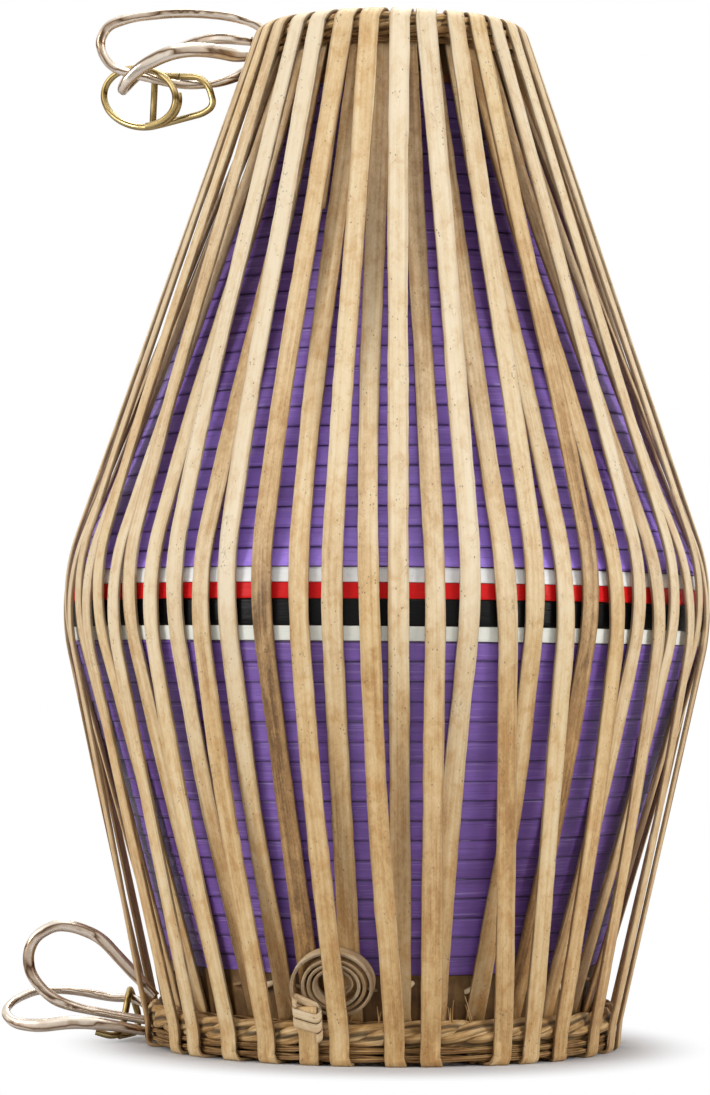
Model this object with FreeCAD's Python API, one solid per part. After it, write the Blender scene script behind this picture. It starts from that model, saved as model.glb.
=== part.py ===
import FreeCAD, Part
import math
import os

os.makedirs("parts", exist_ok=True)

# A two-headed hand drum of fired clay, standing on its wide bass head.
# Origin on the drum's axis at the floor, +Z up, front towards -Y.

Vec = FreeCAD.Vector
axis_up = Vec(0, 0, 1)

# Gaps shared by many pieces.
fit_gap = 0.3
overrun = 20.0

# Clay shell, from the bass rim up to the treble rim.
shell_wall = 9.0
skirt_seat_radius = 124.5
skirt_seat_height = 50.0
bass_rim_inset = 6.3
bass_rim_radius = skirt_seat_radius - bass_rim_inset
bass_rim_height = 8.0
belly_radius = 184.6
belly_height = 256.0
belly_low_inset = 2.8
belly_low_drop = 24.0
belly_low_radius = belly_radius - belly_low_inset
belly_low_height = belly_height - belly_low_drop
belly_high_inset = 3.8
belly_high_rise = 25.0
belly_high_radius = belly_radius - belly_high_inset
belly_high_height = belly_height + belly_high_rise
treble_rim_radius = 60.9
treble_rim_height = 591.5
neck_collar = 31.5
neck_radius = 61.9
neck_height = treble_rim_height - neck_collar

# Plastic tape: one lapped spiral above the belly, one below, and four bands between.
tape_thickness = 0.9
tape_clearance = 0.35
tape_gap = 0.7
upper_turns = 24
lower_turns = 16
lower_white_width = 8.3
black_width = 14.6
red_width = 9.0
upper_white_width = 8.5
bands_below_belly = 20.9
lower_band_gap = 0.5
upper_band_gap = 1.0
lower_white_base = belly_height - bands_below_belly
black_base = lower_white_base + lower_white_width
red_base = black_base + black_width
upper_white_base = red_base + red_width
upper_white_top = upper_white_base + upper_white_width
lower_winding_rise = 1.0
lower_winding_base = skirt_seat_height + lower_winding_rise
lower_winding_top = lower_white_base - lower_band_gap
upper_winding_base = upper_white_top + upper_band_gap
upper_winding_top = neck_height

# Raw hide of both heads, with the cut rim skin and the black paste spot on each.
skin_thickness = 1.5
rim_skin_thickness = 1.0
treble_skirt_drop = 26.0
treble_rim_skin_bore = 36.0
treble_rim_skin_radius = 60.8
treble_paste_radius = 22.0
treble_paste_height = 2.5
bass_rim_skin_bore = 72.0
bass_rim_skin_radius = 116.0
bass_paste_radius = 55.0
bass_paste_height = 2.2
paste_edge_share = 0.35
paste_flat_share = 0.55

# Rawhide lace.
lace_width = 11.4
lace_thickness = 2.2
lace_floor_bite = 0.3
lace_hoop_gap = 0.5
lace_apex_stand = 9.8
lace_apex_rise = 8.2
lace_apex_radius = belly_radius + lace_apex_stand
lace_apex_height = belly_height + lace_apex_rise
lace_belly_cut = 5.56
lace_join_height = 33.0
lap_count = 32
tucked_lap = 4

# Twisted hoops and cane rings that the lace pulls on.
treble_hoop_ring = 73.0
treble_hoop_drop = 0.5
treble_hoop_height = treble_rim_height - treble_hoop_drop
treble_hoop_thick = 13.0
tail_length = 111.0
tail_end_height = treble_hoop_height - tail_length
treble_cane_ring = 72.8
treble_cane_thick = 3.6
bass_hoop_stand = 6.9
bass_hoop_ring = skirt_seat_radius + bass_hoop_stand
bass_hoop_height = 17.6
bass_hoop_thick = 14.0
bass_cane_stand = 3.8
bass_cane_ring = bass_hoop_ring + bass_cane_stand
bass_cane_thick = 4.2
bass_cane_step = 4.5
bass_cane_count = 2

# Levels at which a run's place round the drum is given, from the bass hoop up.
lower_level_share = 0.515
upper_level_share = 0.358
shoulder_level_share = 0.715
belly_level = belly_height
lower_level = bass_hoop_height + lower_level_share * (belly_level - bass_hoop_height)
upper_level = belly_level + upper_level_share * (treble_hoop_height - belly_level)
shoulder_level = belly_level + shoulder_level_share * (treble_hoop_height - belly_level)
level_heights = [
    bass_hoop_height,
    lower_level,
    belly_level,
    upper_level,
    shoulder_level,
    treble_hoop_height,
]

# How far each run stands off its even place, in shares of one lap, at the six levels.
first_lap_angle = -72.6
wander_share = 0.03
rise_shares = {
    0: (-0.03, 0.20, 0.27, 0.05, -0.10, -0.17),
    1: (0.42, 0.25, 0.08, -0.18, -0.30, -0.34),
    2: (0.34, 0.07, -0.02, -0.22, -0.33, -0.43),
    3: (0.31, -0.02, -0.04, -0.21, -0.29, -0.40),
    4: (0.11, -0.09, -0.10, -0.25, -0.33, -0.47),
    5: (0.25, 0.07, -0.04, -0.11, -0.03, 0.08),
    6: (0.14, 0.06, 0.02, 0, 0.03, 0.02),
    7: (0.21, 0.07, -0.02, -0.02, 0, 0.09),
    8: (0.01, -0.04, 0.02, 0.04, 0.06, 0.04),
    9: (-0.08, 0.10, 0.03, 0.06, 0.09, 0.18),
    10: (-0.10, 0.06, 0, 0.06, 0.04, 0.11),
    11: (-0.05, 0.09, 0.02, 0.05, 0.05, 0.05),
    12: (0, 0.15, 0, 0.01, 0.06, 0.10),
    13: (-0.07, 0.14, 0.11, 0.12, 0.08, 0.13),
    14: (0, 0.10, 0.08, 0.08, 0.05, 0.06),
    29: (-0.10, 0.08, 0.03, -0.01, -0.10, -0.13),
    30: (-0.23, 0, 0.06, -0.03, -0.15, -0.31),
    31: (-0.35, 0, 0.18, 0.13, 0.10, 0.09),
}
fall_shares = {
    0: (0.69, 0.35, 0.17, 0.11, 0.03, -0.35),
    1: (0.41, 0.20, 0.07, -0.01, -0.09, -0.44),
    2: (0.46, 0.09, -0.02, -0.17, -0.17, -0.52),
    3: (0.38, 0.05, -0.05, -0.12, -0.12, -0.47),
    4: (0, 0, 0, -0.08, -0.20, -0.45),
    5: (0.44, 0.15, 0.03, -0.08, -0.07, 0),
    6: (0.54, 0.20, 0.06, -0.04, -0.04, -0.01),
    7: (0.26, 0.10, 0.01, -0.01, -0.04, -0.01),
    8: (0.80, 0.37, 0.08, -0.01, -0.04, -0.08),
    9: (0.51, 0.22, 0.04, 0.01, -0.09, 0.08),
    10: (0.31, 0.21, 0.02, 0.03, -0.13, 0.07),
    11: (0.51, 0.30, 0.01, -0.13, -0.33, 0.03),
    12: (0.52, 0.47, 0.08, -0.14, -0.19, 0.01),
    13: (0.26, 0.22, 0.18, 0.09, 0, -0.02),
    14: (0.30, 0.16, 0.10, 0.05, -0.03, -0.05),
    25: (0.24, 0.12, 0, -0.02, -0.07, -0.11),
    26: (0.18, 0.10, 0, -0.02, -0.08, -0.15),
    27: (0.12, 0.08, 0, -0.03, -0.10, -0.20),
    28: (0.05, 0.05, 0.01, -0.04, -0.12, -0.25),
    29: (-0.25, -0.07, 0.05, -0.07, -0.21, -0.33),
    30: (-0.64, -0.11, 0.11, -0.02, -0.20, -0.42),
    31: (-0.19, 0.16, 0.24, 0.16, 0.02, -0.30),
}
back_rise_shares = (0.06, 0.05, 0, 0, 0.02, 0.02)
back_fall_shares = (0.30, 0.14, 0, -0.02, -0.06, -0.07)

# Spare lace: the end of the lacing comes up as a stub, is hitched and coiled.
stub_angle = -17.6
stub_top_height = 44.0
tie_base_height = 22.0
tie_strap_width = 5.2
tie_strap_thickness = 1.8
tie_step = 5.7
tie_turns = 3
coil_angle = -10.2
coil_height = 47.5
coil_lace_width = 10.4
coil_lace_thickness = 1.9
coil_eye_radius = 4.4
coil_pitch = 3.1
coil_loose_step = 1.8
coil_loose_turn = 3
coil_height_share = 0.92
coil_turns = 4.5
coil_start_share = 0.02

# Thong stitched through the bass skirt.
stitch_count = 40
stitch_height = 42.5
stitch_width = 3.0
stitch_thickness = 1.2
stitch_length = 10.0

# Bent wire loops and rings for the carrying strap, all on the left side.
loop_wire = 5.0
ring_wire = 4.0
bend_share = 0.48
long_loop_drop = 25.5
long_loop_reach = 100.4
long_loop_side = 4.4
long_loop_rise = 44.1
long_loop_shares = [
    (0.030, 0, 0.762), (0.100, 0, 0.865), (0.248, 0, 0.955), (0.514, 0, 1), (0.808, 0, 0.925),
    (0.954, 0, 0.798), (1, 0, 0.587), (0.981, 0, 0.397), (0.926, 0, 0.238), (0.830, 0, 0.155),
    (0.660, 0, 0.071), (0.608, 0, 0.039), (0.480, 0, 0), (0.304, 0.35, 0.029), (0.169, 0.85, 0.147),
    (0.078, 1, 0.335), (0.054, 1, 0.400),
]
short_loop_drop = 30.3
short_loop_reach = 87.2
short_loop_side = 12.0
short_loop_rise = 34.3
short_loop_shares = [
    (0.060, -0.06, 0.679), (0.216, -0.12, 0.656), (0.352, -0.6, 0.706), (0.521, -1, 0.717),
    (0.690, -1.05, 0.627), (0.859, -0.95, 0.399), (0.975, -0.6, 0.130), (1, 0, 0),
    (0.945, 0.6, 0.213), (0.791, 1, 0.609), (0.623, 1, 0.837), (0.454, 0.8, 0.980),
    (0.319, 0.5, 1), (0.108, 0.24, 0.933),
]
upright_loop_base = 12.6
upright_loop_reach = 78.1
upright_loop_side = 3.0
upright_loop_rise = 55.6
upright_loop_shares = [
    (0.030, -1, 0.252), (0.174, -1, 0.457), (0.303, -1, 0.646), (0.457, -1, 0.878),
    (0.647, -1, 0.982), (0.798, -1, 1), (0.948, -1, 0.872), (1, -1, 0.691), (0.983, -1, 0.5),
    (0.907, -1, 0.342), (0.793, -1, 0.205), (0.640, -1, 0.131), (0.451, -1, 0.081), (0.097, -1, 0),
]
flat_loop_base = 7.0
flat_loop_reach = 92.0
flat_loop_side = 14.0
flat_loop_rise = 21.7
flat_loop_shares = [
    (0.093, -0.714, 0), (0.254, -1.1, 0.147), (0.511, -1.14, 0.272), (0.768, -1, 0.124),
    (0.928, -0.64, 0.175), (1, -0.07, 0.442), (0.949, 0.57, 0.719), (0.801, 0.93, 0.995),
    (0.641, 1, 1), (0.512, 1, 0.949), (0.320, 1, 0.793), (0.175, 0.8, 0.806), (0.091, 0.25, 0.645),
]
round_ring_half_width = 25.0
round_ring_half_height = 17.2
round_ring_place_share = 0.737
round_ring_lap_share = 0.25
round_ring_slope = 12.0
round_ring_start_share = -0.19
round_ring_top_share = 0.44
ring_turn = 25.0
d_ring_width = 40.0
d_ring_height = 30.0
d_ring_place_share = 0.510
d_ring_slope = 4.0
d_ring_shares = [
    (0.05, 0), (0.42, 0.01), (0.46, -0.10), (0.44, -1), (0.30, -0.96), (-0.40, -0.72), (-0.56, -0.56),
    (-0.46, -0.20), (-0.30, -0.01), (0.02, 0),
]
floor_ring_base = 3.2
floor_ring_reach = 37.1
floor_ring_side = 34.0
floor_ring_rise = 26.1
floor_ring_shares = [
    (1, -0.27, 0.12), (0.704, -0.27, 0), (0.60, 0.06, 0.15), (0.50, 0.18, 1), (0.50, 0.47, 1),
    (0.313, 1, 0), (0.636, -0.03, 0),
]


def save(name, shape):
    """Write one node's STEP file and report its size."""
    shape.exportStep(f"parts/{name}.step")
    print(f"{name}: {len(shape.Solids)} solid(s), {shape.Volume:.0f} mm3, valid {shape.isValid()}")


def outward(angle):
    """Unit vector that points away from the axis, at degrees from the front towards +X."""
    turn = math.radians(angle)
    return Vec(math.sin(turn), -math.cos(turn), 0)


def around(angle):
    """Unit vector that runs round the drum at an angle."""
    turn = math.radians(angle)
    return Vec(math.cos(turn), math.sin(turn), 0)


def polar(radius, angle, height):
    """Point at a radius, an angle and a height."""
    return outward(angle) * radius + axis_up * height


def line(start, end):
    """Straight edge."""
    return Part.LineSegment(start, end).toShape()


def revolve_edges(edges):
    """Solid of revolution round the drum's axis from a closed outline in the XZ plane."""
    face = Part.Face(Part.Wire(edges))
    return face.revolve(Vec(0, 0, 0), axis_up, 360)


def revolve_outline(points):
    """Solid of revolution from radius and height pairs."""
    corners = [Vec(radius, 0, height) for radius, height in points]
    closed = corners + [corners[0]]
    return revolve_edges([line(a, b) for a, b in zip(closed, closed[1:])])


def plain_ring(radius, height, thickness):
    """Round hoop on the drum's axis."""
    return Part.makeTorus(radius, thickness / 2, Vec(0, 0, height), axis_up)


def belly_circle():
    """Centre radius, centre height and radius of the arc that rounds the belly."""
    low = Vec(belly_low_radius, 0, belly_low_height)
    middle = Vec(belly_radius, 0, belly_height)
    high = Vec(belly_high_radius, 0, belly_high_height)
    arc = Part.Arc(low, middle, high).toShape().Curve
    return arc.Center.x, arc.Center.z, arc.Radius


def clay_shell():
    """Hollow clay body, open at both heads."""
    outer = [
        Vec(bass_rim_radius, 0, bass_rim_height),
        Vec(skirt_seat_radius, 0, skirt_seat_height),
        Vec(belly_low_radius, 0, belly_low_height),
        Vec(belly_radius, 0, belly_height),
        Vec(belly_high_radius, 0, belly_high_height),
        Vec(neck_radius, 0, neck_height),
        Vec(treble_rim_radius, 0, treble_rim_height),
    ]
    inner = [point - Vec(shell_wall, 0, 0) for point in outer]
    edges = []
    for side in (outer, inner):
        edges.append(line(side[0], side[1]))
        edges.append(line(side[1], side[2]))
        edges.append(Part.Arc(side[2], side[3], side[4]).toShape())
        edges.append(line(side[4], side[5]))
        edges.append(line(side[5], side[6]))
    edges.append(line(outer[0], inner[0]))
    edges.append(line(outer[6], inner[6]))
    return revolve_edges(Part.__sortEdges__(edges))


def tape_band(base, top):
    """One flat band of tape round the belly."""
    centre, level, radius = belly_circle()
    inner = radius + tape_clearance
    outer = inner + tape_thickness
    low = base + fit_gap / 2
    high = top - fit_gap / 2
    middle = (low + high) / 2

    def on_arc(reach, height):
        return Vec(centre + math.sqrt(reach**2 - (height - level) ** 2), 0, height)

    edges = [
        Part.Arc(on_arc(inner, low), on_arc(inner, middle), on_arc(inner, high)).toShape(),
        line(on_arc(inner, high), on_arc(outer, high)),
        Part.Arc(on_arc(outer, high), on_arc(outer, middle), on_arc(outer, low)).toShape(),
        line(on_arc(outer, low), on_arc(inner, low)),
    ]
    return revolve_edges(edges)


def arc_from(start, heading, end):
    """Arc that leaves a point along a heading and ends at another point."""
    chord = end - start
    along = Vec(chord).normalize()
    aside = heading - along * heading.dot(along)
    angle = heading.getAngle(chord)
    middle = (start + end) / 2 + aside.normalize() * (chord.Length / 2 * math.tan(angle / 2))
    return Part.Arc(start, middle, end).toShape()


def biarc(start, heading, end, arrival):
    """Two tangent arcs between two points with given unit headings."""
    gap = end - start
    both = heading + arrival
    spread = 2 * (1 - heading.dot(arrival))
    pull = gap.dot(both)
    reach = (math.sqrt(pull**2 + spread * gap.dot(gap)) - pull) / spread
    joint = (start + end + (heading - arrival) * reach) / 2
    return [arc_from(start, heading, joint), arc_from(joint, arc_end_heading(start, heading, joint), end)]


def arc_end_heading(start, heading, end):
    """Heading at the far end of the arc that leaves a point along a heading."""
    along = (end - start).normalize()
    return along * (2 * heading.dot(along)) - heading


def spiral_edges(place, last, step):
    """Biarcs through place(turn) from turn 0, and the heading at its start."""
    count = round(last / step)
    fine = step / 1000
    points = [place(step * index) for index in range(count + 1)]
    ahead = [place(step * index + fine) for index in range(count + 1)]
    behind = [place(step * index - fine) for index in range(count + 1)]
    headings = [(front - back).normalize() for front, back in zip(ahead, behind)]
    edges = []
    for index in range(count):
        edges += biarc(points[index], headings[index], points[index + 1], headings[index + 1])
    return edges, headings[0]


def rectangle(centre, across, width, up, height):
    """Closed rectangular wire about a centre."""
    side = across * (width / 2)
    rise = up * (height / 2)
    corners = [centre - side - rise, centre + side - rise, centre + side + rise, centre - side + rise]
    return Part.makePolygon(corners + [corners[0]])


def least_turn_gap(place, last, thickness):
    """Least clear distance between one turn and the next, measured on points."""
    steps = 36
    turns = [step / steps for step in range(round(last * steps) + 1)]
    gaps = []
    for turn in turns:
        here = place(turn)
        later = [other for other in turns if turn + 0.6 < other < turn + 1.4]
        gaps += [(place(other) - here).Length - thickness for other in later]
    return min(gaps)


def tape_winding(name, low, high, base, top, turns):
    """One unbroken spiral of tape up the straight cone between two radius and height pairs."""
    slope = (high[0] - low[0]) / (high[1] - low[1])
    slant = math.sqrt(1 + slope**2)
    pitch = (top - base + tape_gap / slant) / (turns + 1)
    width = pitch * slant - tape_gap
    stand_off = (tape_clearance + tape_thickness / 2) * slant
    first_height = base + pitch / 2

    def place(turn):
        height = first_height + pitch * turn
        return polar(low[0] + slope * (height - low[1]) + stand_off, 360 * turn, height)

    edges, heading = spiral_edges(place, turns, 0.5)
    run = (outward(0) * slope + axis_up).normalize()
    face = heading.cross(run).normalize()
    profile = rectangle(place(0), face.cross(heading), width, face, tape_thickness)
    shell = Part.BRepOffsetAPI.MakePipeShell(Part.Wire(edges))
    shell.setBiNormalMode(axis_up)
    shell.add(profile)
    shell.build()
    shell.makeSolid()
    print(f"{name}: {turns} turns, least gap to itself {least_turn_gap(place, turns, width):.2f} mm")
    return shell.shape()


def treble_skin():
    """Treble head: membrane over the rim with a skirt down the neck."""
    inside = neck_radius + fit_gap
    outside = inside + skin_thickness
    seat = treble_rim_height + fit_gap
    face = seat + skin_thickness
    hem = treble_rim_height - treble_skirt_drop
    return revolve_outline([(0, seat), (inside, seat), (inside, hem), (outside, hem), (outside, face), (0, face)])


def skirt_inside(height):
    """Inner radius of the bass skirt at a height."""
    slope = (skirt_seat_radius - bass_rim_radius) / (skirt_seat_height - bass_rim_height)
    return bass_rim_radius + slope * (height - bass_rim_height) + fit_gap


def bass_skin():
    """Bass head: membrane under the rim with a skirt up the shell."""
    seat = bass_rim_height - fit_gap
    face = seat - skin_thickness
    hem = skirt_seat_height - fit_gap
    return revolve_outline([
        (0, face),
        (skirt_inside(face) + skin_thickness, face),
        (skirt_inside(hem) + skin_thickness, hem),
        (skirt_inside(hem), hem),
        (skirt_inside(seat), seat),
        (0, seat),
    ])


def flat_ring(bore, rim, base, top):
    """Flat ring between two radii and two heights."""
    return revolve_outline([(bore, base), (rim, base), (rim, top), (bore, top)])


def paste_spot(radius, base, height):
    """Round paste spot on a head, thick in the middle and thin at its edge."""
    edge = base + height * paste_edge_share
    face = base + height
    middle = radius * paste_flat_share
    return revolve_outline([(0, base), (radius, base), (radius, edge), (middle, face), (0, face)])


def level_angles(lap, rising):
    """Angles of one run at the six levels, from the bass hoop up."""
    pitch = 360 / (lap_count - 0.5)
    even = first_lap_angle + pitch * (lap if lap <= tucked_lap else lap - 0.5)
    table = rise_shares if rising else fall_shares
    shares = table.get(lap)
    if shares is None:
        spare = back_rise_shares if rising else back_fall_shares
        waves = [math.sin(lap * (1 + level / 2) + level) for level in range(len(spare))]
        shares = [share + wander_share * wave for share, wave in zip(spare, waves)]
    start = even if rising else even + pitch / 2
    return [start + pitch * share for share in shares]


def smooth_between(values, height):
    """Smooth curve through one value at each level."""
    last = len(level_heights) - 1
    height = min(max(height, level_heights[0]), level_heights[last])
    spot = max(level for level in range(last) if height >= level_heights[level])
    span = level_heights[spot + 1] - level_heights[spot]
    share = (height - level_heights[spot]) / span

    def steepness(level):
        low = max(level - 1, 0)
        high = min(level + 1, last)
        return (values[high] - values[low]) / (level_heights[high] - level_heights[low])

    rise = values[spot + 1] - values[spot]
    lead = steepness(spot) * span - rise
    trail = rise - steepness(spot + 1) * span
    ease = share * (1 - share)
    return values[spot] + rise * share + ease * (lead * (1 - share) + trail * share)


def touch(circle, reach, side):
    """Where a line from the belly's apex touches a circle, and the circle's normal angle there."""
    across = circle[0] - lace_apex_radius
    rise = circle[1] - lace_apex_height
    heading = math.atan2(rise, across) + side * math.asin(reach / math.hypot(across, rise))
    normal = heading + side * math.pi / 2
    spot = (circle[0] + reach * math.cos(normal), circle[1] + reach * math.sin(normal))
    return spot, normal


def arc_stations(centre, radius, start, end, steps, turned):
    """Stations along an arc: each a radius and height pair and the way the lace's face looks."""
    stations = []
    for index in range(steps + 1):
        angle = start + (end - start) * index / steps
        spot = (centre[0] + radius * math.cos(angle), centre[1] + radius * math.sin(angle))
        stations.append((spot, angle + (math.pi if turned else 0)))
    return stations


def belly_stations(low_normal, high_normal, turned):
    """Stations over the belly between the two straight runs that meet at the apex."""
    middle = (low_normal + high_normal) / 2
    opening = math.cos((high_normal - low_normal) / 2)
    radius = lace_belly_cut * opening / (1 - opening)
    reach = radius / opening
    centre = (lace_apex_radius - reach * math.cos(middle), lace_apex_height - reach * math.sin(middle))
    if turned:
        return arc_stations(centre, radius, high_normal, low_normal, 5, True)
    return arc_stations(centre, radius, low_normal, high_normal, 5, False)


def straight_stations(start, end, count):
    """Even stations strictly between two stations of one straight run."""
    stations = []
    for index in range(count):
        share = (index + 1) / (count + 1)
        spot = tuple(a + (b - a) * share for a, b in zip(start[0], end[0]))
        stations.append((spot, start[1]))
    return stations


def along_run(end, height):
    """Station at a height on the straight run from the belly's apex through a station."""
    slope = (lace_apex_radius - end[0][0]) / (lace_apex_height - end[0][1])
    return (end[0][0] + slope * (height - end[0][1]), height), end[1]


def corner_reach():
    """Radius of the lace's middle line round the cane rings at the floor."""
    return bass_cane_thick / 2 + fit_gap + lace_thickness / 2


def corner_level():
    """Height of the lowest cane ring and of the lace's turn round it."""
    return lace_thickness / 2 - lace_floor_bite + corner_reach()


def lace_path():
    """One lap in radius and height: its rising run, crown, falling run and turn underneath."""
    half = lace_thickness / 2
    treble_reach = treble_hoop_thick / 2 + lace_hoop_gap + half
    bass_reach = bass_hoop_thick / 2 + lace_hoop_gap + half
    treble = (treble_hoop_ring, treble_hoop_height)
    bass = (bass_hoop_ring, bass_hoop_height)
    treble_outer = touch(treble, treble_reach, -1)
    treble_inner = touch(treble, treble_reach, 1)
    bass_outer = touch(bass, bass_reach, 1)
    bass_inner = touch(bass, bass_reach, -1)
    treble_outer_normal = treble_outer[1]
    treble_inner_normal = treble_inner[1]
    bass_outer_normal = bass_outer[1]
    bass_inner_normal = bass_inner[1]
    rise_start = (bass_inner[0], bass_inner_normal + math.pi)
    fall_end = (bass_outer[0], bass_outer_normal + math.pi)
    join = along_run(rise_start, lace_join_height)
    rise_belly = belly_stations(bass_inner_normal + math.pi, treble_outer_normal, False)
    fall_belly = belly_stations(bass_outer_normal, treble_inner_normal - math.pi, True)
    crown = arc_stations(treble, treble_reach, treble_outer_normal, treble_inner_normal, 8, False)
    rising = [join] + straight_stations(join, rise_belly[0], 3) + rise_belly
    rising += straight_stations(rise_belly[-1], crown[0], 5)
    falling = straight_stations(crown[-1], fall_belly[0], 5) + fall_belly
    falling += straight_stations(fall_belly[-1], fall_end, 4) + [fall_end]
    quarter = math.pi / 2
    inner_side = bass_hoop_ring - bass_reach
    outer_corner = (bass_cane_ring, corner_level())
    inner_corner = (inner_side + corner_reach(), corner_level())
    under = arc_stations(outer_corner, corner_reach(), 0, -quarter, 3, True)
    under += arc_stations(inner_corner, corner_reach(), -quarter, -2 * quarter, 3, True)
    under += [((inner_side, bass_hoop_height), 0), rise_start, join]
    return rising, crown, falling, under


def ribbon(stations, angles, width, thickness):
    """Solid lace through stations, each at its own angle round the drum."""
    sections = []
    for (spot, facing), angle in zip(stations, angles):
        face = outward(angle) * math.cos(facing) + axis_up * math.sin(facing)
        sections.append(rectangle(polar(spot[0], angle, spot[1]), around(angle), width, face, thickness))
    return Part.makeLoft(sections, True, True)


def even_steps(start, end, count):
    """Values that pass evenly from one to another."""
    return [start + (end - start) * index / (count - 1) for index in range(count)]


def floor_cut(shape):
    """Trim what dips below the floor, so that the drum stands on flats."""
    half = belly_radius + overrun
    slab = Part.makeBox(2 * half, 2 * half, overrun, Vec(-half, -half, -overrun))
    return shape.cut(slab)


def lace_lap(lap):
    """One lap: up inside the bass hoop, over the treble hoop, down and under the bass hoop."""
    rising, crown, falling, under = lace_path()
    up = level_angles(lap, True)
    down = level_angles(lap, False)
    stations = rising + crown
    angles = [smooth_between(up, spot[1]) for spot, facing in rising]
    angles += even_steps(up[-1], down[-1], len(crown))
    if lap == tucked_lap + 1:
        stub = [along_run(falling[-1], stub_top_height), falling[-1]]
        stations = stub + under[:-1] + stations
        angles = [stub_angle, stub_angle] + even_steps(stub_angle, up[0], len(under) - 1) + angles
    if lap == tucked_lap:
        tail = [station for station in falling if station[0][1] > tail_end_height]
        stations += tail
        angles += [smooth_between(down, spot[1]) for spot, facing in tail]
    else:
        following = level_angles((lap + 1) % lap_count, True)
        lift = 360 if lap + 1 == lap_count else 0
        following = [angle + lift for angle in following]
        stations += falling + under
        angles += [smooth_between(down, spot[1]) for spot, facing in falling]
        angles += even_steps(down[0], following[0], len(under) - 1)
        angles.append(smooth_between(following, lace_join_height))
    return floor_cut(ribbon(stations, angles, lace_width, lace_thickness))


def stub_frame():
    """Middle of the stub at the hitch's foot and its upward, outward and sideways directions."""
    rising, crown, falling, under = lace_path()
    foot = along_run(falling[-1], tie_base_height)
    head = along_run(falling[-1], stub_top_height)
    foot_point = polar(foot[0][0], stub_angle, foot[0][1])
    up = (polar(head[0][0], stub_angle, head[0][1]) - foot_point).normalize()
    side = around(stub_angle)
    return foot_point, up, side.cross(up) * -1, side


def coil_tie():
    """Hitch of the spare lace: three turns round the stub, in one piece."""
    foot, up, out, side = stub_frame()
    reach = lace_thickness / 2 + fit_gap + tie_strap_thickness / 2
    flat = lace_width / 2 + fit_gap - reach / 3
    sections = []
    for turn in range(tie_turns):
        for end, first in ((1, -90), (-1, 90)):
            for step in range(4):
                angle = math.radians(first + 60 * step)
                look = out * math.sin(-angle) + side * math.cos(angle)
                share = (turn * 2 + (0 if end > 0 else 1) + step / 4) / 2
                middle = foot + up * (tie_strap_width / 2 + tie_step * share) + side * (flat * end)
                sections.append(rectangle(middle + look * reach, up, tie_strap_width, look, tie_strap_thickness))
    return Part.makeLoft(sections, True, True)


def lace_coil():
    """Coil of spare lace on edge, its turns lying between the inner and outer laces."""
    rising, crown, falling, under = lace_path()
    seat = along_run(under[-1], coil_height)
    seat_high = along_run(under[-1], coil_height + coil_lace_width)
    back = polar(seat[0][0], coil_angle, seat[0][1])
    up = (polar(seat_high[0][0], coil_angle, seat_high[0][1]) - back).normalize()
    side = around(coil_angle)
    out = up.cross(side) * -1
    middle = back + out * (lace_thickness / 2 + fit_gap + coil_lace_width / 2)

    def place(turn):
        loose = max(turn - coil_loose_turn, 0)
        radius = coil_eye_radius + coil_pitch * turn + coil_loose_step * loose**2
        angle = 2 * math.pi * (turn + coil_start_share)
        return middle + side * (radius * math.cos(angle)) + up * (radius * coil_height_share * math.sin(angle))

    edges, heading = spiral_edges(place, coil_turns, 0.25)
    across = heading.cross(out)
    profile = rectangle(place(0), out, coil_lace_width, across, coil_lace_thickness)
    gap = least_turn_gap(place, coil_turns, coil_lace_thickness)
    print(f"lace_coil: {coil_turns} turns, least gap to itself {gap:.2f} mm")
    return Part.Wire(edges).makePipeShell([profile], True, False)


def skirt_thong():
    """Running stitches of thong round the top of the bass skirt."""
    inner = skirt_inside(stitch_height + stitch_width / 2) + skin_thickness + fit_gap
    outer = inner + stitch_thickness
    half = stitch_width / 2
    corners = [
        Vec(inner, 0, stitch_height - half),
        Vec(outer, 0, stitch_height - half),
        Vec(outer, 0, stitch_height + half),
        Vec(inner, 0, stitch_height + half),
    ]
    face = Part.Face(Part.makePolygon(corners + [corners[0]]))
    sweep = math.degrees(stitch_length / inner)
    stitch = face.revolve(Vec(0, 0, 0), axis_up, sweep)
    stitches = []
    for index in range(stitch_count):
        stitches.append(stitch.rotated(Vec(0, 0, 0), axis_up, 360 * index / stitch_count))
    return Part.makeCompound(stitches)


def bent_route(points):
    """Smooth edges along a route: straight between its points and round at each of them."""
    edges = []
    leave = points[0]
    for before, here, after in zip(points, points[1:], points[2:]):
        arriving = here - before
        leaving = after - here
        trim = bend_share * min(arriving.Length, leaving.Length)
        arriving.normalize()
        leaving.normalize()
        start = here - arriving * trim
        edges.append(line(leave, start))
        edges.append(arc_from(start, arriving, here + leaving * trim))
        leave = here + leaving * trim
    edges.append(line(leave, points[-1]))
    return edges


def wire_along(edges, thickness):
    """Round wire along smooth edges."""
    start = edges[0].firstVertex().Point
    heading = edges[0].tangentAt(edges[0].FirstParameter)
    profile = Part.Wire(Part.makeCircle(thickness / 2, start, heading))
    return Part.Wire(edges).makePipeShell([profile], True, False)


def loop_points(hoop_radius, base, reach, side, rise, shares):
    """Route of a loop from the hoop it hangs on, out to the left."""
    foot = Vec(-hoop_radius, 0, base)
    return [foot + Vec(-reach * a, side * b, rise * c) for a, b, c in shares]


def long_loop_points():
    """Route of the long upper loop."""
    reach = long_loop_reach
    base = treble_hoop_height - long_loop_drop
    return loop_points(treble_hoop_ring, base, reach, long_loop_side, long_loop_rise, long_loop_shares)


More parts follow.
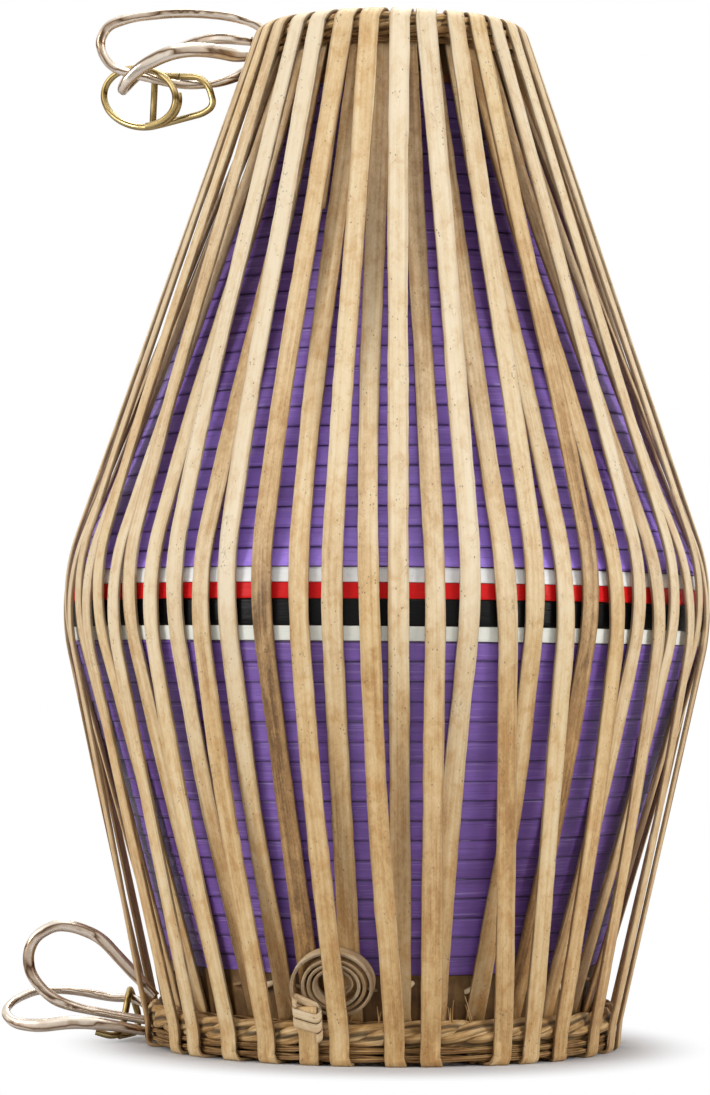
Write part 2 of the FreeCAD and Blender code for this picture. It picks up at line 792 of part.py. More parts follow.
def ring_frame(place_share, ring_slope):
    """Point over the long loop's lower strand where a ring hangs, and the ring's own directions."""
    points = long_loop_points()
    x = -treble_hoop_ring - long_loop_reach * place_share
    lower = [point for point in points[7:] if point.x >= x]
    before = [point for point in points[7:] if point.x < x][-1]
    after = lower[0]
    share = (x - before.x) / (after.x - before.x)
    strand = before + (after - before) * share
    turn = math.radians(ring_turn)
    slope = math.radians(ring_slope)
    level = Vec(math.cos(turn), -math.sin(turn), 0)
    side = level * math.cos(slope) - axis_up * math.sin(slope)
    up = level * math.sin(slope) + axis_up * math.cos(slope)
    hang = strand + up * (loop_wire / 2 + ring_wire / 2 + fit_gap)
    return hang, side, up, up.cross(side)


def round_ring():
    """Oval ring of one wire whose ends lie side by side."""
    hang, side, up, out = ring_frame(round_ring_place_share, round_ring_slope)
    centre = hang - up * round_ring_half_height
    turns = 1 + round_ring_lap_share
    step = ring_wire + fit_gap

    def place(turn):
        angle = 2 * math.pi * (turn + round_ring_start_share)
        flat = side * (round_ring_half_width * math.cos(angle)) + up * (round_ring_half_height * math.sin(angle))
        return centre + flat + out * (step * (turn - round_ring_top_share))

    edges, heading = spiral_edges(place, turns, 0.125)
    return wire_along(edges, ring_wire)


def d_ring():
    """Ring bent to a rounded triangle, closed upon itself over the strand."""
    hang, side, up, out = ring_frame(d_ring_place_share, d_ring_slope)
    points = [hang + side * (-d_ring_width * a) + up * (d_ring_height * b) for a, b in d_ring_shares]
    return wire_along(bent_route(points), ring_wire)


def floor_ring():
    """Ring bent open round the flat loop, resting by the floor."""
    points = loop_points(
        bass_hoop_ring, floor_ring_base, floor_ring_reach, floor_ring_side, floor_ring_rise, floor_ring_shares
    )
    return wire_along(bent_route(points), ring_wire)


save("clay_shell", clay_shell())
cone_foot = (skirt_seat_radius, skirt_seat_height)
cone_low = (belly_low_radius, belly_low_height)
cone_high = (belly_high_radius, belly_high_height)
cone_neck = (neck_radius, neck_height)
save("upper_winding", tape_winding(
    "upper_winding", cone_high, cone_neck, upper_winding_base, upper_winding_top, upper_turns))
save("lower_winding", tape_winding(
    "lower_winding", cone_foot, cone_low, lower_winding_base, lower_winding_top, lower_turns))
save("white_band_upper", tape_band(upper_white_base, upper_white_top))
save("red_band", tape_band(red_base, upper_white_base))
save("black_band", tape_band(black_base, red_base))
save("white_band_lower", tape_band(lower_white_base, black_base))

treble_face = treble_rim_height + 2 * fit_gap + skin_thickness
bass_face = bass_rim_height - 2 * fit_gap - skin_thickness
save("treble_skin", treble_skin())
save("treble_rim_skin", flat_ring(
    treble_rim_skin_bore, treble_rim_skin_radius, treble_face, treble_face + rim_skin_thickness))
save("treble_paste", paste_spot(treble_paste_radius, treble_face, treble_paste_height))
save("bass_skin", bass_skin())
save("bass_rim_skin", flat_ring(
    bass_rim_skin_bore, bass_rim_skin_radius, bass_face - rim_skin_thickness, bass_face))
save("bass_paste", paste_spot(bass_paste_radius, bass_face, -bass_paste_height))
save("bass_skirt_thong", skirt_thong())

treble_cane_height = treble_hoop_height - treble_hoop_thick / 2 - fit_gap - treble_cane_thick / 2
save("treble_hoop", plain_ring(treble_hoop_ring, treble_hoop_height, treble_hoop_thick))
save("treble_cane_rings", plain_ring(treble_cane_ring, treble_cane_height, treble_cane_thick))
save("bass_hoop", plain_ring(bass_hoop_ring, bass_hoop_height, bass_hoop_thick))
canes = []
for index in range(bass_cane_count):
    canes.append(plain_ring(bass_cane_ring, corner_level() + bass_cane_step * index, bass_cane_thick))
save("bass_cane_rings", Part.makeCompound(canes))

for lap in range(lap_count):
    save(f"lace_lap_{lap + 1:02d}", lace_lap(lap))
save("lace_coil", lace_coil())
save("coil_tie", coil_tie())

save("upper_carry_loop_long", wire_along(bent_route(long_loop_points()), loop_wire))
short_loop_base = treble_hoop_height - short_loop_drop
short_points = loop_points(
    treble_hoop_ring, short_loop_base, short_loop_reach, short_loop_side, short_loop_rise, short_loop_shares)
save("upper_carry_loop_short", wire_along(bent_route(short_points), loop_wire))
upright_points = loop_points(
    bass_hoop_ring, upright_loop_base, upright_loop_reach, upright_loop_side, upright_loop_rise,
    upright_loop_shares)
save("lower_carry_loop_upright", wire_along(bent_route(upright_points), loop_wire))
flat_points = loop_points(
    bass_hoop_ring, flat_loop_base, flat_loop_reach, flat_loop_side, flat_loop_rise, flat_loop_shares)
save("lower_carry_loop_flat", wire_along(bent_route(flat_points), loop_wire))
save("upper_round_ring", round_ring())
save("upper_d_ring", d_ring())
save("lower_ring", floor_ring())
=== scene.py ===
import bpy
import math
import numpy as np
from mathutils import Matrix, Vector


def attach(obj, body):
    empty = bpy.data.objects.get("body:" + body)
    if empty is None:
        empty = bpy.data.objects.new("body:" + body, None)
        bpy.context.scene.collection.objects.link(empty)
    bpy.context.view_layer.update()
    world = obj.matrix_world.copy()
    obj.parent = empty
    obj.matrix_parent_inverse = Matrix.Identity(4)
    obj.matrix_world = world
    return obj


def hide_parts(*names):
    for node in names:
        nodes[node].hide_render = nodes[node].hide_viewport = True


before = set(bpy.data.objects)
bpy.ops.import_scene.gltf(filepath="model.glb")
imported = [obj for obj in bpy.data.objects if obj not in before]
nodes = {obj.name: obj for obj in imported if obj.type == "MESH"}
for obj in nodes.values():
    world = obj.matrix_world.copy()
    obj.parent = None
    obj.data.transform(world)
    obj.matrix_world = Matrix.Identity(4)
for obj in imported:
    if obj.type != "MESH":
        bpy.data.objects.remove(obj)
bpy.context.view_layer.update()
mm = 0.001  # every size below is in millimetres


def outward(degrees):
    # directions away from the drum's axis
    turn = np.radians(np.asarray(degrees, float))
    return np.stack([np.sin(turn), -np.cos(turn), turn * 0], -1)


def polar(radius, degrees, height):
    # points from radius, angle from the front towards +X, and height
    radius = np.asarray(radius, float)
    spots = outward(degrees) * radius[..., None]
    spots[..., 2] = height
    return spots


def unit(vectors):
    return vectors / np.linalg.norm(vectors, axis=-1, keepdims=True)


def wander(places, step, amount, seed):
    # smooth random curve along a length, the same on every run
    knots = np.random.default_rng(seed).uniform(-1, 1, int(np.max(places) / step) + 3)
    low = np.floor(np.asarray(places) / step).astype(int)
    share = np.asarray(places) / step - low
    share = share * share * (3 - 2 * share)
    return amount * (knots[low] * (1 - share) + knots[low + 1] * share)


def ringWander(turns, waves, amount, seed):
    # smooth random curve that closes on itself after one turn
    random = np.random.default_rng(seed)
    total = np.zeros_like(turns)
    for wave in waves:
        total += np.sin(2 * np.pi * (wave * turns + random.uniform())) * random.uniform(0.4, 1)
    return amount * total / len(waves)


def lengthAlong(points):
    # distance along a line of points to each of them
    return np.concatenate([[0], np.cumsum(np.linalg.norm(np.diff(points, axis=0), axis=1))])


def tubeFaces(count, corners, closed):
    # faces of a tube by its stations and their corners, with end faces when it is open
    here = np.arange(count if closed else count - 1)[:, None] * corners
    ahead = (here + corners) % (count * corners)
    near = np.arange(corners)[None]
    beside = (near + 1) % corners
    quads = np.stack([here + near, here + beside, ahead + beside, ahead + near], -1).reshape(-1, 4).tolist()
    if not closed:
        quads.append(list(range(corners))[::-1])
        quads.append(list(range((count - 1) * corners, count * corners)))
    return quads


def sweep(centres, sides, faces, profiles, closed=False):
    # a tube through centres; profiles holds each station's outline as (side, face) pairs
    points = centres[:, None] + sides[:, None] * profiles[..., :1] + faces[:, None] * profiles[..., 1:]
    return points.reshape(-1, 3), tubeFaces(*profiles.shape[:2], closed)


def turned(radii, turns, heights, closed=True):
    # a tube round the drum's axis, by radius and height at each station's corners
    angles = np.repeat(360 * turns[:, None], heights.shape[1], 1)
    return polar(radii, angles, heights).reshape(-1, 3), tubeFaces(*heights.shape, closed)


def joined(parts):
    # several (points, faces, marks) shapes as one
    points, faces, marks, base = [], [], [], 0
    for some, theirs, looks in parts:
        points.append(some)
        faces += [[corner + base for corner in face] for face in theirs]
        marks.append(looks)
        base += len(some)
    marks = {name: np.concatenate([looks[name] for looks in marks]) for name in marks[0]}
    return np.concatenate(points), faces, marks


def addPiece(name, shape, material, slot, *stands):
    # a shape in millimetres becomes a piece that rides on a body and stands for its CAD nodes
    points, faces, marks = shape
    mesh = bpy.data.meshes.new(name)
    mesh.from_pydata((points * mm).tolist(), [], faces)
    for mark, values in marks.items():
        values = np.asarray(values, np.float32)
        kind, field = ("FLOAT_VECTOR", "vector") if values.ndim == 2 else ("FLOAT", "value")
        mesh.attributes.new(mark, kind, "POINT").data.foreach_set(field, values.ravel())
    mesh.shade_smooth()
    mesh.materials.append(material)
    mesh.update()
    piece = bpy.data.objects.new(name, mesh)
    bpy.context.scene.collection.objects.link(piece)
    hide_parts(*stands)
    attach(piece, "drum")


class Nodes:
    # short hands for building the nodes of a material or a world
    def __init__(self, owner):
        owner.use_nodes = True
        self.owner, self.nodes, self.links = owner, owner.node_tree.nodes, owner.node_tree.links

    def set(self, node, name, value):
        # links an output, or puts a number or a screen colour on the socket
        socket = node.inputs[name]
        if hasattr(value, "is_output"):
            self.links.new(value, socket)
        elif value is not None:
            socket.default_value = paint(value) if socket.type == "RGBA" else value

    def node(self, kind, inputs, out=0, **settings):
        # one output of a new node
        node = self.nodes.new("ShaderNode" + kind)
        for name, value in settings.items():
            setattr(node, name, value)
        for name, value in inputs.items():
            self.set(node, name, value)
        return node.outputs[out]


class Shades(Nodes):
    def __init__(self, name, roughness=0.5, specular=0.5, metallic=0.0):
        super().__init__(bpy.data.materials.new(name))
        self.surface = self.nodes["Principled BSDF"]
        for socket, value in (("Roughness", roughness), ("Specular IOR Level", specular), ("Metallic", metallic)):
            self.set(self.surface, socket, value)

    def mark(self, name, out="Fac"):
        return self.node("Attribute", {}, out, attribute_name=name)

    def place(self, mark, stretch):
        # a mark's vector or else the place on the object, stretched by one or by three numbers
        source = self.mark(mark, "Vector") if mark else self.node("TexCoord", {}, "Object")
        stretch = stretch if isinstance(stretch, tuple) else (stretch,) * 3
        return self.node("VectorMath", {0: source, 1: stretch}, operation="MULTIPLY")

    def noise(self, mark, stretch, detail=3.0, rough=0.55, warp=0.0):
        place = self.place(mark, stretch)
        inputs = {"Vector": place, "Scale": 1, "Detail": detail, "Roughness": rough, "Distortion": warp}
        return self.node("TexNoise", inputs, "Fac")

    def cells(self, mark, stretch, feature="F1"):
        inputs = {"Vector": self.place(mark, stretch), "Scale": 1}
        return self.node("TexVoronoi", inputs, "Distance", feature=feature)

    def sum(self, operation, *values):
        return self.node("Math", dict(enumerate(values)), operation=operation)

    def plus(self, a, b):
        return self.sum("ADD", a, b)

    def times(self, a, b):
        return self.sum("MULTIPLY", a, b)

    def span(self, value, low, high, toLow=0.0, toHigh=1.0):
        inputs = {"Value": value, "From Min": low, "From Max": high, "To Min": toLow, "To Max": toHigh}
        return self.node("MapRange", inputs, "Result", interpolation_type="SMOOTHSTEP")

    def ramp(self, value, stops):
        # colours at places from 0 to 1
        node = self.nodes.new("ShaderNodeValToRGB")
        self.links.new(value, node.inputs["Fac"])
        colours = node.color_ramp.elements
        while len(colours) < len(stops):
            colours.new(0.5)
        for element, (place, colour) in zip(colours, stops):
            element.position = place
            element.color = paint(colour)
        return node.outputs["Color"]

    def mix(self, share, a, b):
        # sockets 6, 7 and 2 are the colours of this node
        return self.node("Mix", {0: share, 6: a, 7: b}, 2, data_type="RGBA")

    def bump(self, height, distance, strength):
        return self.node("Bump", {"Strength": strength, "Distance": distance * mm, "Height": height})

    def finish(self, colour, roughness=None, normal=None):
        for socket, value in (("Base Color", colour), ("Roughness", roughness), ("Normal", normal)):
            self.set(self.surface, socket, value)
        return self.owner


def paint(colour):
    # screen colour 0-255 to the linear colour that Blender wants
    shares = [channel / 255 for channel in colour]
    return [share / 12.92 if share <= 0.04045 else ((share + 0.055) / 1.055) ** 2.4 for share in shares] + [1]


view = {"place": (-18.4, -2250, 216.5), "pitch": 1.92, "roll": 0.5, "lens": 125.2}
camera = bpy.data.objects.new("camera", bpy.data.cameras.new("camera"))
camera.data.lens = view["lens"]
camera.data.sensor_width = 36
camera.data.clip_end = 20
camera.location = Vector(view["place"]) * mm
camera.rotation_mode = "XYZ"
camera.rotation_euler = (math.radians(90 + view["pitch"]), math.radians(-view["roll"]), 0)
bpy.context.scene.collection.objects.link(camera)
bpy.context.scene.camera = camera
bpy.context.scene.view_settings.view_transform = "Standard"

studio = {
    "sky": 0.31,
    "aim": (0, 0, 300),
    "lamps": [  # name, place, size, power in watts
        ("leftLamp", (-2250, -1500, 1100), 1000, 37.5),
        ("rightLamp", (2250, -1500, 1100), 1000, 37.5),
        ("topLamp", (0, -1000, 2300), 1000, 9),
        ("backLamp", (0, 700, 2300), 1000, 34),
    ],
}
for name, place, size, power in studio["lamps"]:
    lamp = bpy.data.lights.new(name, "AREA")
    lamp.shape = "SQUARE"
    lamp.size = size * mm
    lamp.energy = power
    holder = bpy.data.objects.new(name, lamp)
    holder.location = Vector(place) * mm
    holder.rotation_euler = (Vector(studio["aim"]) * mm - holder.location).to_track_quat("-Z", "Y").to_euler()
    bpy.context.scene.collection.objects.link(holder)

# plain white to the camera, in mirrors and through clear things, and dimmer as a light
sky = Nodes(bpy.data.worlds.new("studioSky"))
bpy.context.scene.world = sky.owner
seen = 0
for kind in ("Is Camera Ray", "Is Glossy Ray", "Is Transmission Ray"):
    seen = sky.node("Math", {0: seen, 1: sky.node("LightPath", {}, kind)}, operation="ADD", use_clamp=True)
level = sky.node("MapRange", {"Value": seen, "To Min": studio["sky"], "To Max": 1.0}, "Result")
sky.set(sky.nodes["Background"], "Strength", level)
sky.set(sky.nodes["Background"], "Color", (255, 255, 255))

floorSettings = {"reach": 6000, "fade": (147, 218), "stretch": (1.12, 1, 1), "colour": (214, 214, 216)}


def makeFloor():
    # painted shade: pale grey near the drum, deepening the shadow that falls there, and plain white for the
    # camera further out
    reach = floorSettings["reach"] * mm
    corners = [(-reach, -reach, 0), (reach, -reach, 0), (reach, reach, 0), (-reach, reach, 0)]
    mesh = bpy.data.meshes.new("floor")
    mesh.from_pydata(corners, [], [(0, 1, 2, 3)])
    floor = bpy.data.objects.new("floor", mesh)
    bpy.context.scene.collection.objects.link(floor)
    shades = Shades("paleFloor", roughness=0.8, specular=0.2)
    shades.finish(floorSettings["colour"])
    place = shades.place(None, floorSettings["stretch"])
    near, far = floorSettings["fade"]
    away = shades.span(shades.node("VectorMath", {0: place}, "Value", operation="LENGTH"), near * mm, far * mm)
    seen = shades.times(away, shades.node("LightPath", {}, "Is Camera Ray"))
    both = shades.node("MixShader", {0: seen, 1: shades.surface.outputs[0], 2: shades.node("Emission", {})})
    shades.set(shades.nodes["Material Output"], "Surface", both)
    mesh.materials.append(shades.owner)


makeFloor()
print("camera, lamps and floor are set")

lace = {
    "width": 11.4, "thickness": 2.2, "hoopGap": 0.5, "floorBite": 0.3, "floorTop": 0.15,
    "apex": (194.4, 264.2), "bellyCut": 5.56, "joinHeight": 22.0, "tailEnd": 480.0,
    "laps": 32, "tuckedLap": 4, "firstAngle": -72.6, "wanderShare": 0.03, "step": 4.0,
    "stubAngle": -17.6, "stubTop": 33.0,
    "footTop": 20, "footShare": 0.985,  # near the floor a strap is a little smaller
    "blend": 6, "toneWander": (55, 0.07), "warmthWander": (80, 0.12), "layerStep": 1.37, "underLayer": 0.5,
}
seatGap = 0.3  # between pieces that lie on one another
hoops = {
    "trebleHoop": {"node": "treble_hoop", "slot": "twisted_hide", "ring": 73.0, "height": 591.0, "thick": 13.0,
                   "strands": 3, "twists": 8, "ridge": 0.14, "ridges": 4},
    "bassHoop": {"node": "bass_hoop", "slot": "twisted_hide", "ring": 131.4, "height": 17.6, "thick": 14.0,
                 "strands": 3, "twists": 12, "ridge": 0.17, "ridges": 3},
    "trebleCaneRing": {"node": "treble_cane_rings", "slot": "cane", "ring": 72.8, "height": 582.4, "thick": 3.6,
                       "strands": 2, "twists": 12, "ridge": 0.1, "ridges": 5},
}
bassCanes = {"ring": 135.2, "thick": 4.2, "strands": 2, "twists": 9, "ridge": 0.1, "ridges": 5,
             "step": 4.5, "count": 2}

# how far each run stands from its even place at these heights, in hundredths of the pitch
levels = np.array([17.6, 140.376, 256.0, 375.93, 495.525, 591.0])
riseShares = {
    0: (-3, 20, 27, 5, -10, -17),
    1: (42, 25, 8, -18, -30, -34),
    2: (34, 7, -2, -22, -33, -43),
    3: (31, -2, -4, -21, -29, -40),
    4: (11, -9, -10, -25, -33, -47),
    5: (25, 7, -4, -11, -3, 8),
    6: (14, 6, 2, 0, 3, 2),
    7: (21, 7, -2, -2, 0, 9),
    8: (1, -4, 2, 4, 6, 4),
    9: (-8, 10, 3, 6, 9, 18),
    10: (-10, 6, 0, 6, 4, 11),
    11: (-5, 9, 2, 5, 5, 5),
    12: (0, 15, 0, 1, 6, 10),
    13: (-7, 14, 11, 12, 8, 13),
    14: (0, 10, 8, 8, 5, 6),
    29: (-10, 8, 3, -1, -10, -13),
    30: (-23, 0, 6, -3, -15, -31),
    31: (-35, 0, 18, 13, 10, 9),
}
fallShares = {
    0: (69, 35, 17, 11, 3, -35),
    1: (41, 20, 7, -1, -9, -44),
    2: (46, 9, -2, -17, -17, -52),
    3: (38, 5, -5, -12, -12, -47),
    4: (0, 0, 0, -8, -20, -45),
    5: (44, 15, 3, -8, -7, 0),
    6: (54, 20, 6, -4, -4, -1),
    7: (26, 10, 1, -1, -4, -1),
    8: (80, 37, 8, -1, -4, -8),
    9: (51, 22, 4, 1, -9, 8),
    10: (31, 21, 2, 3, -13, 7),
    11: (51, 30, 1, -13, -33, 3),
    12: (52, 47, 8, -14, -19, 1),
    13: (26, 22, 18, 9, 0, -2),
    14: (30, 16, 10, 5, -3, -5),
    25: (24, 12, 0, -2, -7, -11),
    26: (18, 10, 0, -2, -8, -15),
    27: (12, 8, 0, -3, -10, -20),
    28: (5, 5, 1, -4, -12, -25),
    29: (-25, -7, 5, -7, -21, -33),
    30: (-64, -11, 11, -2, -20, -42),
    31: (-19, 16, 24, 16, 2, -30),
}
backRiseShares = (6, 5, 0, 0, 2, 2)
backFallShares = (30, 14, 0, -2, -6, -7)

# height, how pale (1) or dark (0) and how orange (1) or grey (0) a run is there, from its top down
# the darks are partly each run's own colour and partly painted shade where it lies behind other runs
runTones = {
    ("rise", 0): [(600, 0.62, 0.45), (250, 0.55, 0.5)],
    ("rise", 1): [(600, 0.70, 0.75), (300, 0.66, 0.7)],
    ("rise", 2): [(600, 0.58, 0.5), (300, 0.6, 0.5)],
    ("rise", 3): [(600, 0.95, 0.3), (260, 0.85, 0.35), (60, 0.5, 0.5)],
    ("rise", 4): [(600, 0.95, 0.3), (260, 0.85, 0.35), (60, 0.5, 0.5)],
    ("rise", 5): [(600, 0.68, 0.7), (420, 0.58, 0.75), (310, 0.42, 0.7), (250, 0.10, 0.5), (60, 0.10, 0.45)],
    ("rise", 6): [(600, 0.60, 0.75), (500, 0.66, 0.7), (350, 0.72, 0.55), (60, 0.5, 0.6)],
    ("rise", 7): [(600, 0.84, 0.35), (300, 0.84, 0.4), (60, 0.5, 0.55)],
    ("rise", 8): [(600, 0.82, 0.25), (300, 0.86, 0.35), (60, 0.5, 0.6)],
    ("rise", 9): [(600, 0.74, 0.5), (300, 0.72, 0.55), (120, 0.5, 0.9)],
    ("rise", 10): [(600, 0.72, 0.8), (450, 0.5, 0.7), (200, 0.22, 0.6), (100, 0.2, 0.6)],
    ("fall", 1): [(600, 0.5, 0.4), (260, 0.85, 0.35), (30, 0.66, 0.55)],
    ("fall", 6): [(600, 0.4, 0.5), (300, 0.72, 0.6), (260, 0.58, 0.95), (150, 0.55, 0.9), (30, 0.5, 0.85)],
    ("fall", 8): [(600, 0.4, 0.5), (260, 0.66, 0.55), (80, 0.5, 0.9), (30, 0.46, 0.95)],
}
# the same for runs that are not in the table: their tone at the top and at the foot, and how much it varies
# painted shade: falls are darker at the top and rises at the foot, where they lie behind the other runs
spareTones = {
    "rise": (0.7, 0.32), "fall": (0.34, 0.56), "belly": 0.7, "shift": (-0.12, 0.16), "warmth": (0.3, 0.75),
}


def touch(circle, reach, side):
    # where the straight run from the belly meets a hoop
    across, rise = circle[0] - lace["apex"][0], circle[1] - lace["apex"][1]
    heading = math.atan2(rise, across) + side * math.asin(reach / math.hypot(across, rise))
    normal = heading + side * math.pi / 2
    return (circle[0] + reach * math.cos(normal), circle[1] + reach * math.sin(normal)), normal


def arcPoints(centre, radius, start, end, steps):
    angles = np.linspace(start, end, steps + 1)
    return [(centre[0] + radius * math.cos(a), centre[1] + radius * math.sin(a)) for a in angles]


def bellyPoints(lowNormal, highNormal):
    middle = (lowNormal + highNormal) / 2
    opening = math.cos((highNormal - lowNormal) / 2)
    radius = lace["bellyCut"] * opening / (1 - opening)
    reach = radius / opening
    centre = (lace["apex"][0] - reach * math.cos(middle), lace["apex"][1] - reach * math.sin(middle))
    return arcPoints(centre, radius, lowNormal, highNormal, 16)


def alongRun(end, height):
    slope = (lace["apex"][0] - end[0]) / (lace["apex"][1] - end[1])
    return (end[0] + slope * (height - end[1]), height)


def lapPath():
    # radius and height along one lap's four stretches
    half = lace["thickness"] / 2
    ends = hoops["trebleHoop"], hoops["bassHoop"]
    treble, bass = ((hoop["ring"], hoop["height"]) for hoop in ends)
    trebleReach, bassReach = (hoop["thick"] / 2 + lace["hoopGap"] + half for hoop in ends)
    trebleOuterNormal = touch(treble, trebleReach, -1)[1]
    trebleInnerNormal = touch(treble, trebleReach, 1)[1]
    bassOuter, bassOuterNormal = touch(bass, bassReach, 1)
    bassInner, bassInnerNormal = touch(bass, bassReach, -1)
    join = alongRun(bassInner, lace["joinHeight"])
    corner = bassCanes["thick"] / 2 + seatGap + half
    level = half - lace["floorBite"] + corner
    innerSide = bass[0] - bassReach
    under = arcPoints((bassCanes["ring"], level), corner, 0, -math.pi / 2, 9)
    under += arcPoints((innerSide + corner, level), corner, -math.pi / 2, -math.pi, 9)
    return {
        "rising": [join] + bellyPoints(bassInnerNormal + math.pi, trebleOuterNormal),
        "crown": arcPoints(treble, trebleReach, trebleOuterNormal, trebleInnerNormal, 24),
        "falling": bellyPoints(bassOuterNormal, trebleInnerNormal - math.pi)[::-1] + [bassOuter],
        "under": under + [(innerSide, bass[1]), bassInner],
        "join": join,
        "caneLevel": level,
    }


path = lapPath()


def runAngles(lap, rising):
    pitch = 360 / (lace["laps"] - 0.5)
    even = lace["firstAngle"] + pitch * (lap if lap <= lace["tuckedLap"] else lap - 0.5)
    start = even if rising else even + pitch / 2
    shares = (riseShares if rising else fallShares).get(lap)
    if shares is None:
        spare = backRiseShares if rising else backFallShares
        waves = [math.sin(lap * (1 + place / 2) + place) for place in range(len(spare))]
        return [start + pitch * (share / 100 + lace["wanderShare"] * wave) for share, wave in zip(spare, waves)]
    return [start + pitch * (share / 100) for share in shares]


def smoothBetween(values, heights):
    # the CAD's smooth curve through a value at each level
    values, last = np.array(values, float), len(levels) - 1
    low, high = np.maximum(np.arange(last + 1) - 1, 0), np.minimum(np.arange(last + 1) + 1, last)
    slopes = (values[high] - values[low]) / (levels[high] - levels[low])
    heights = np.clip(heights, levels[0], levels[-1])
    spots = np.clip(np.searchsorted(levels, heights, side="right") - 1, 0, last - 1)
    span, rise = np.diff(levels)[spots], np.diff(values)[spots]
    share = (heights - levels[spots]) / span
    lead, trail = slopes[spots] * span - rise, rise - slopes[spots + 1] * span
    return values[spots] + rise * share + share * (1 - share) * (lead * (1 - share) + trail * share)


def stretched(points, step):
    # even stations along a polyline, corners kept
    points = np.array(points, float)
    result = [points[:1]]
    for here, ahead in zip(points, points[1:]):
        count = max(1, round(float(np.linalg.norm(ahead - here)) / step))
        result.append(here + (ahead - here) * np.linspace(0, 1, count + 1)[1:, None])
    return np.concatenate(result)


def lapStations(lap):
    # radius, height, angle and which run each station is on: 0 rising, 1 falling, 2 under the hoop
    crown, falling, under = path["crown"], path["falling"], path["under"]
    up, down = runAngles(lap, True), runAngles(lap, False)
    lift = 360 if lap + 1 == lace["laps"] else 0
    following = [angle + lift for angle in runAngles((lap + 1) % lace["laps"], True)]
    share = list(np.linspace(0, 3, 10)) + list(np.linspace(4, 7, 10)) + [8, 9]
    stretches = []

    def add(points, angles, kind):
        stretches.append(np.column_stack([points, angles, np.full(len(points), kind)]))

    def underTurn(start, end):
        dense = stretched(np.column_stack([under, share]), lace["step"])
        add(dense[:, :2], start + (end - start) * dense[:, 2] / share[-1], 2)

    if lap == lace["tuckedLap"] + 1:
        stub = stretched([alongRun(falling[-1], lace["stubTop"]), falling[-1]], lace["step"])
        add(stub, np.full(len(stub), lace["stubAngle"]), 2)
        underTurn(lace["stubAngle"], up[0])
    rise = stretched(path["rising"], lace["step"])
    rise = np.concatenate([rise, stretched([rise[-1], crown[0]], lace["step"])[1:]])
    add(rise, smoothBetween(up, rise[:, 1]), 0)
    add(np.array(crown)[1:], np.linspace(up[-1], down[-1], len(crown))[1:], 0)
    fall = stretched([crown[-1]] + falling, lace["step"])[1:]
    if lap == lace["tuckedLap"]:
        fall = fall[fall[:, 1] > lace["tailEnd"]]
    add(fall, smoothBetween(down, fall[:, 1]), 1)
    if lap != lace["tuckedLap"]:
        underTurn(down[0], following[0])
        last = stretched([under[-1], path["join"]], lace["step"])[1:]
        add(last, smoothBetween(following, last[:, 1]), 2)
    stations = np.concatenate(stretches)
    apart = np.diff(lengthAlong(polar(stations[:, 0], stations[:, 2], stations[:, 1])))
    return stations[np.concatenate([[True], apart > 0.4])]


def frames(centres, away):
    # side and face directions of a strap along its middle line, from a rough outward direction
    along = unit(np.gradient(centres, axis=0))
    side = unit(np.cross(along, away))
    return side, np.cross(side, along)


strap = {
    "across": (-1, -0.95, -0.8, -0.5, -0.17, 0.17, 0.5, 0.8, 0.95, 1),
    "calm": 12, "round": 0.2, "corner": 0.55,
    "width": ((46, 0.05), (9, 0.02)), "thickness": (60, 0.08), "ridge": (70, 0.13), "sway": (12, 0.16),
}


def strapProfile(places, width, thickness, seed, lively=1.0):
    # outline of a dried rawhide strap at each station: rounded edges and low ridges along its faces
    calm = np.clip(np.minimum(places, places[-1] - places) / strap["calm"], 0, 1) * lively
    broad, small = (wander(places, *strap["width"][index], seed + index) for index in (0, 1))
    wide = width / 2 * (1 + calm * (broad + small))
    thick = thickness / 2 * (1 + calm * wander(places, *strap["thickness"], seed + 2))
    corners = 2 * len(strap["across"])
    profiles = np.zeros((len(places), corners, 2))
    for column, a in enumerate(strap["across"]):
        crown = strap["corner"] if abs(a) == 1 else 1 - strap["round"] * abs(a) ** 3
        ridge = calm * wander(places, *strap["ridge"], seed + 10 + column) * (abs(a) <= 0.9)
        sway = calm * wander(places, *strap["sway"], seed + 5 + (column > 4)) * (abs(a) > 0.6)
        for place, way in ((column, 1), (corners - 1 - column, -1)):
            profiles[:, place] = np.stack([wide * a + sway, way * (thick * crown + ridge)], -1)
    return profiles


def strapMarks(places, profiles, layer, tone, warmth):
    # where each corner is in the grain, its shade and how near it is to the strap's edge
    def spread(values):
        return np.broadcast_to(values, profiles.shape[:2]).ravel()

    across = profiles[:, :, 0]
    return {
        "grainPlace": np.stack([spread(places[:, None]) * mm, across.ravel() * mm, spread(layer)], -1),
        "tone": spread(tone),
        "warmth": spread(warmth),
        "edge": spread(np.abs(across) / np.abs(across).max(axis=1, keepdims=True)),
    }


hide = {
    "steps": (0.0, 0.27, 0.52, 0.76, 1.0),
    "pale": ((118, 92, 60), (182, 153, 114), (212, 188, 152), (226, 207, 175), (232, 217, 190)),
    "tan": ((104, 72, 34), (172, 130, 76), (205, 168, 114), (220, 191, 142), (227, 205, 165)),
    "blotch": (196, 146, 88),
    # edge is the painted shade at a strap's edges; mark is the dark of specks and scars, and of the painted shade
    # on the cut sides
    "edge": (148, 112, 70),
    "mark": (74, 50, 28),
}


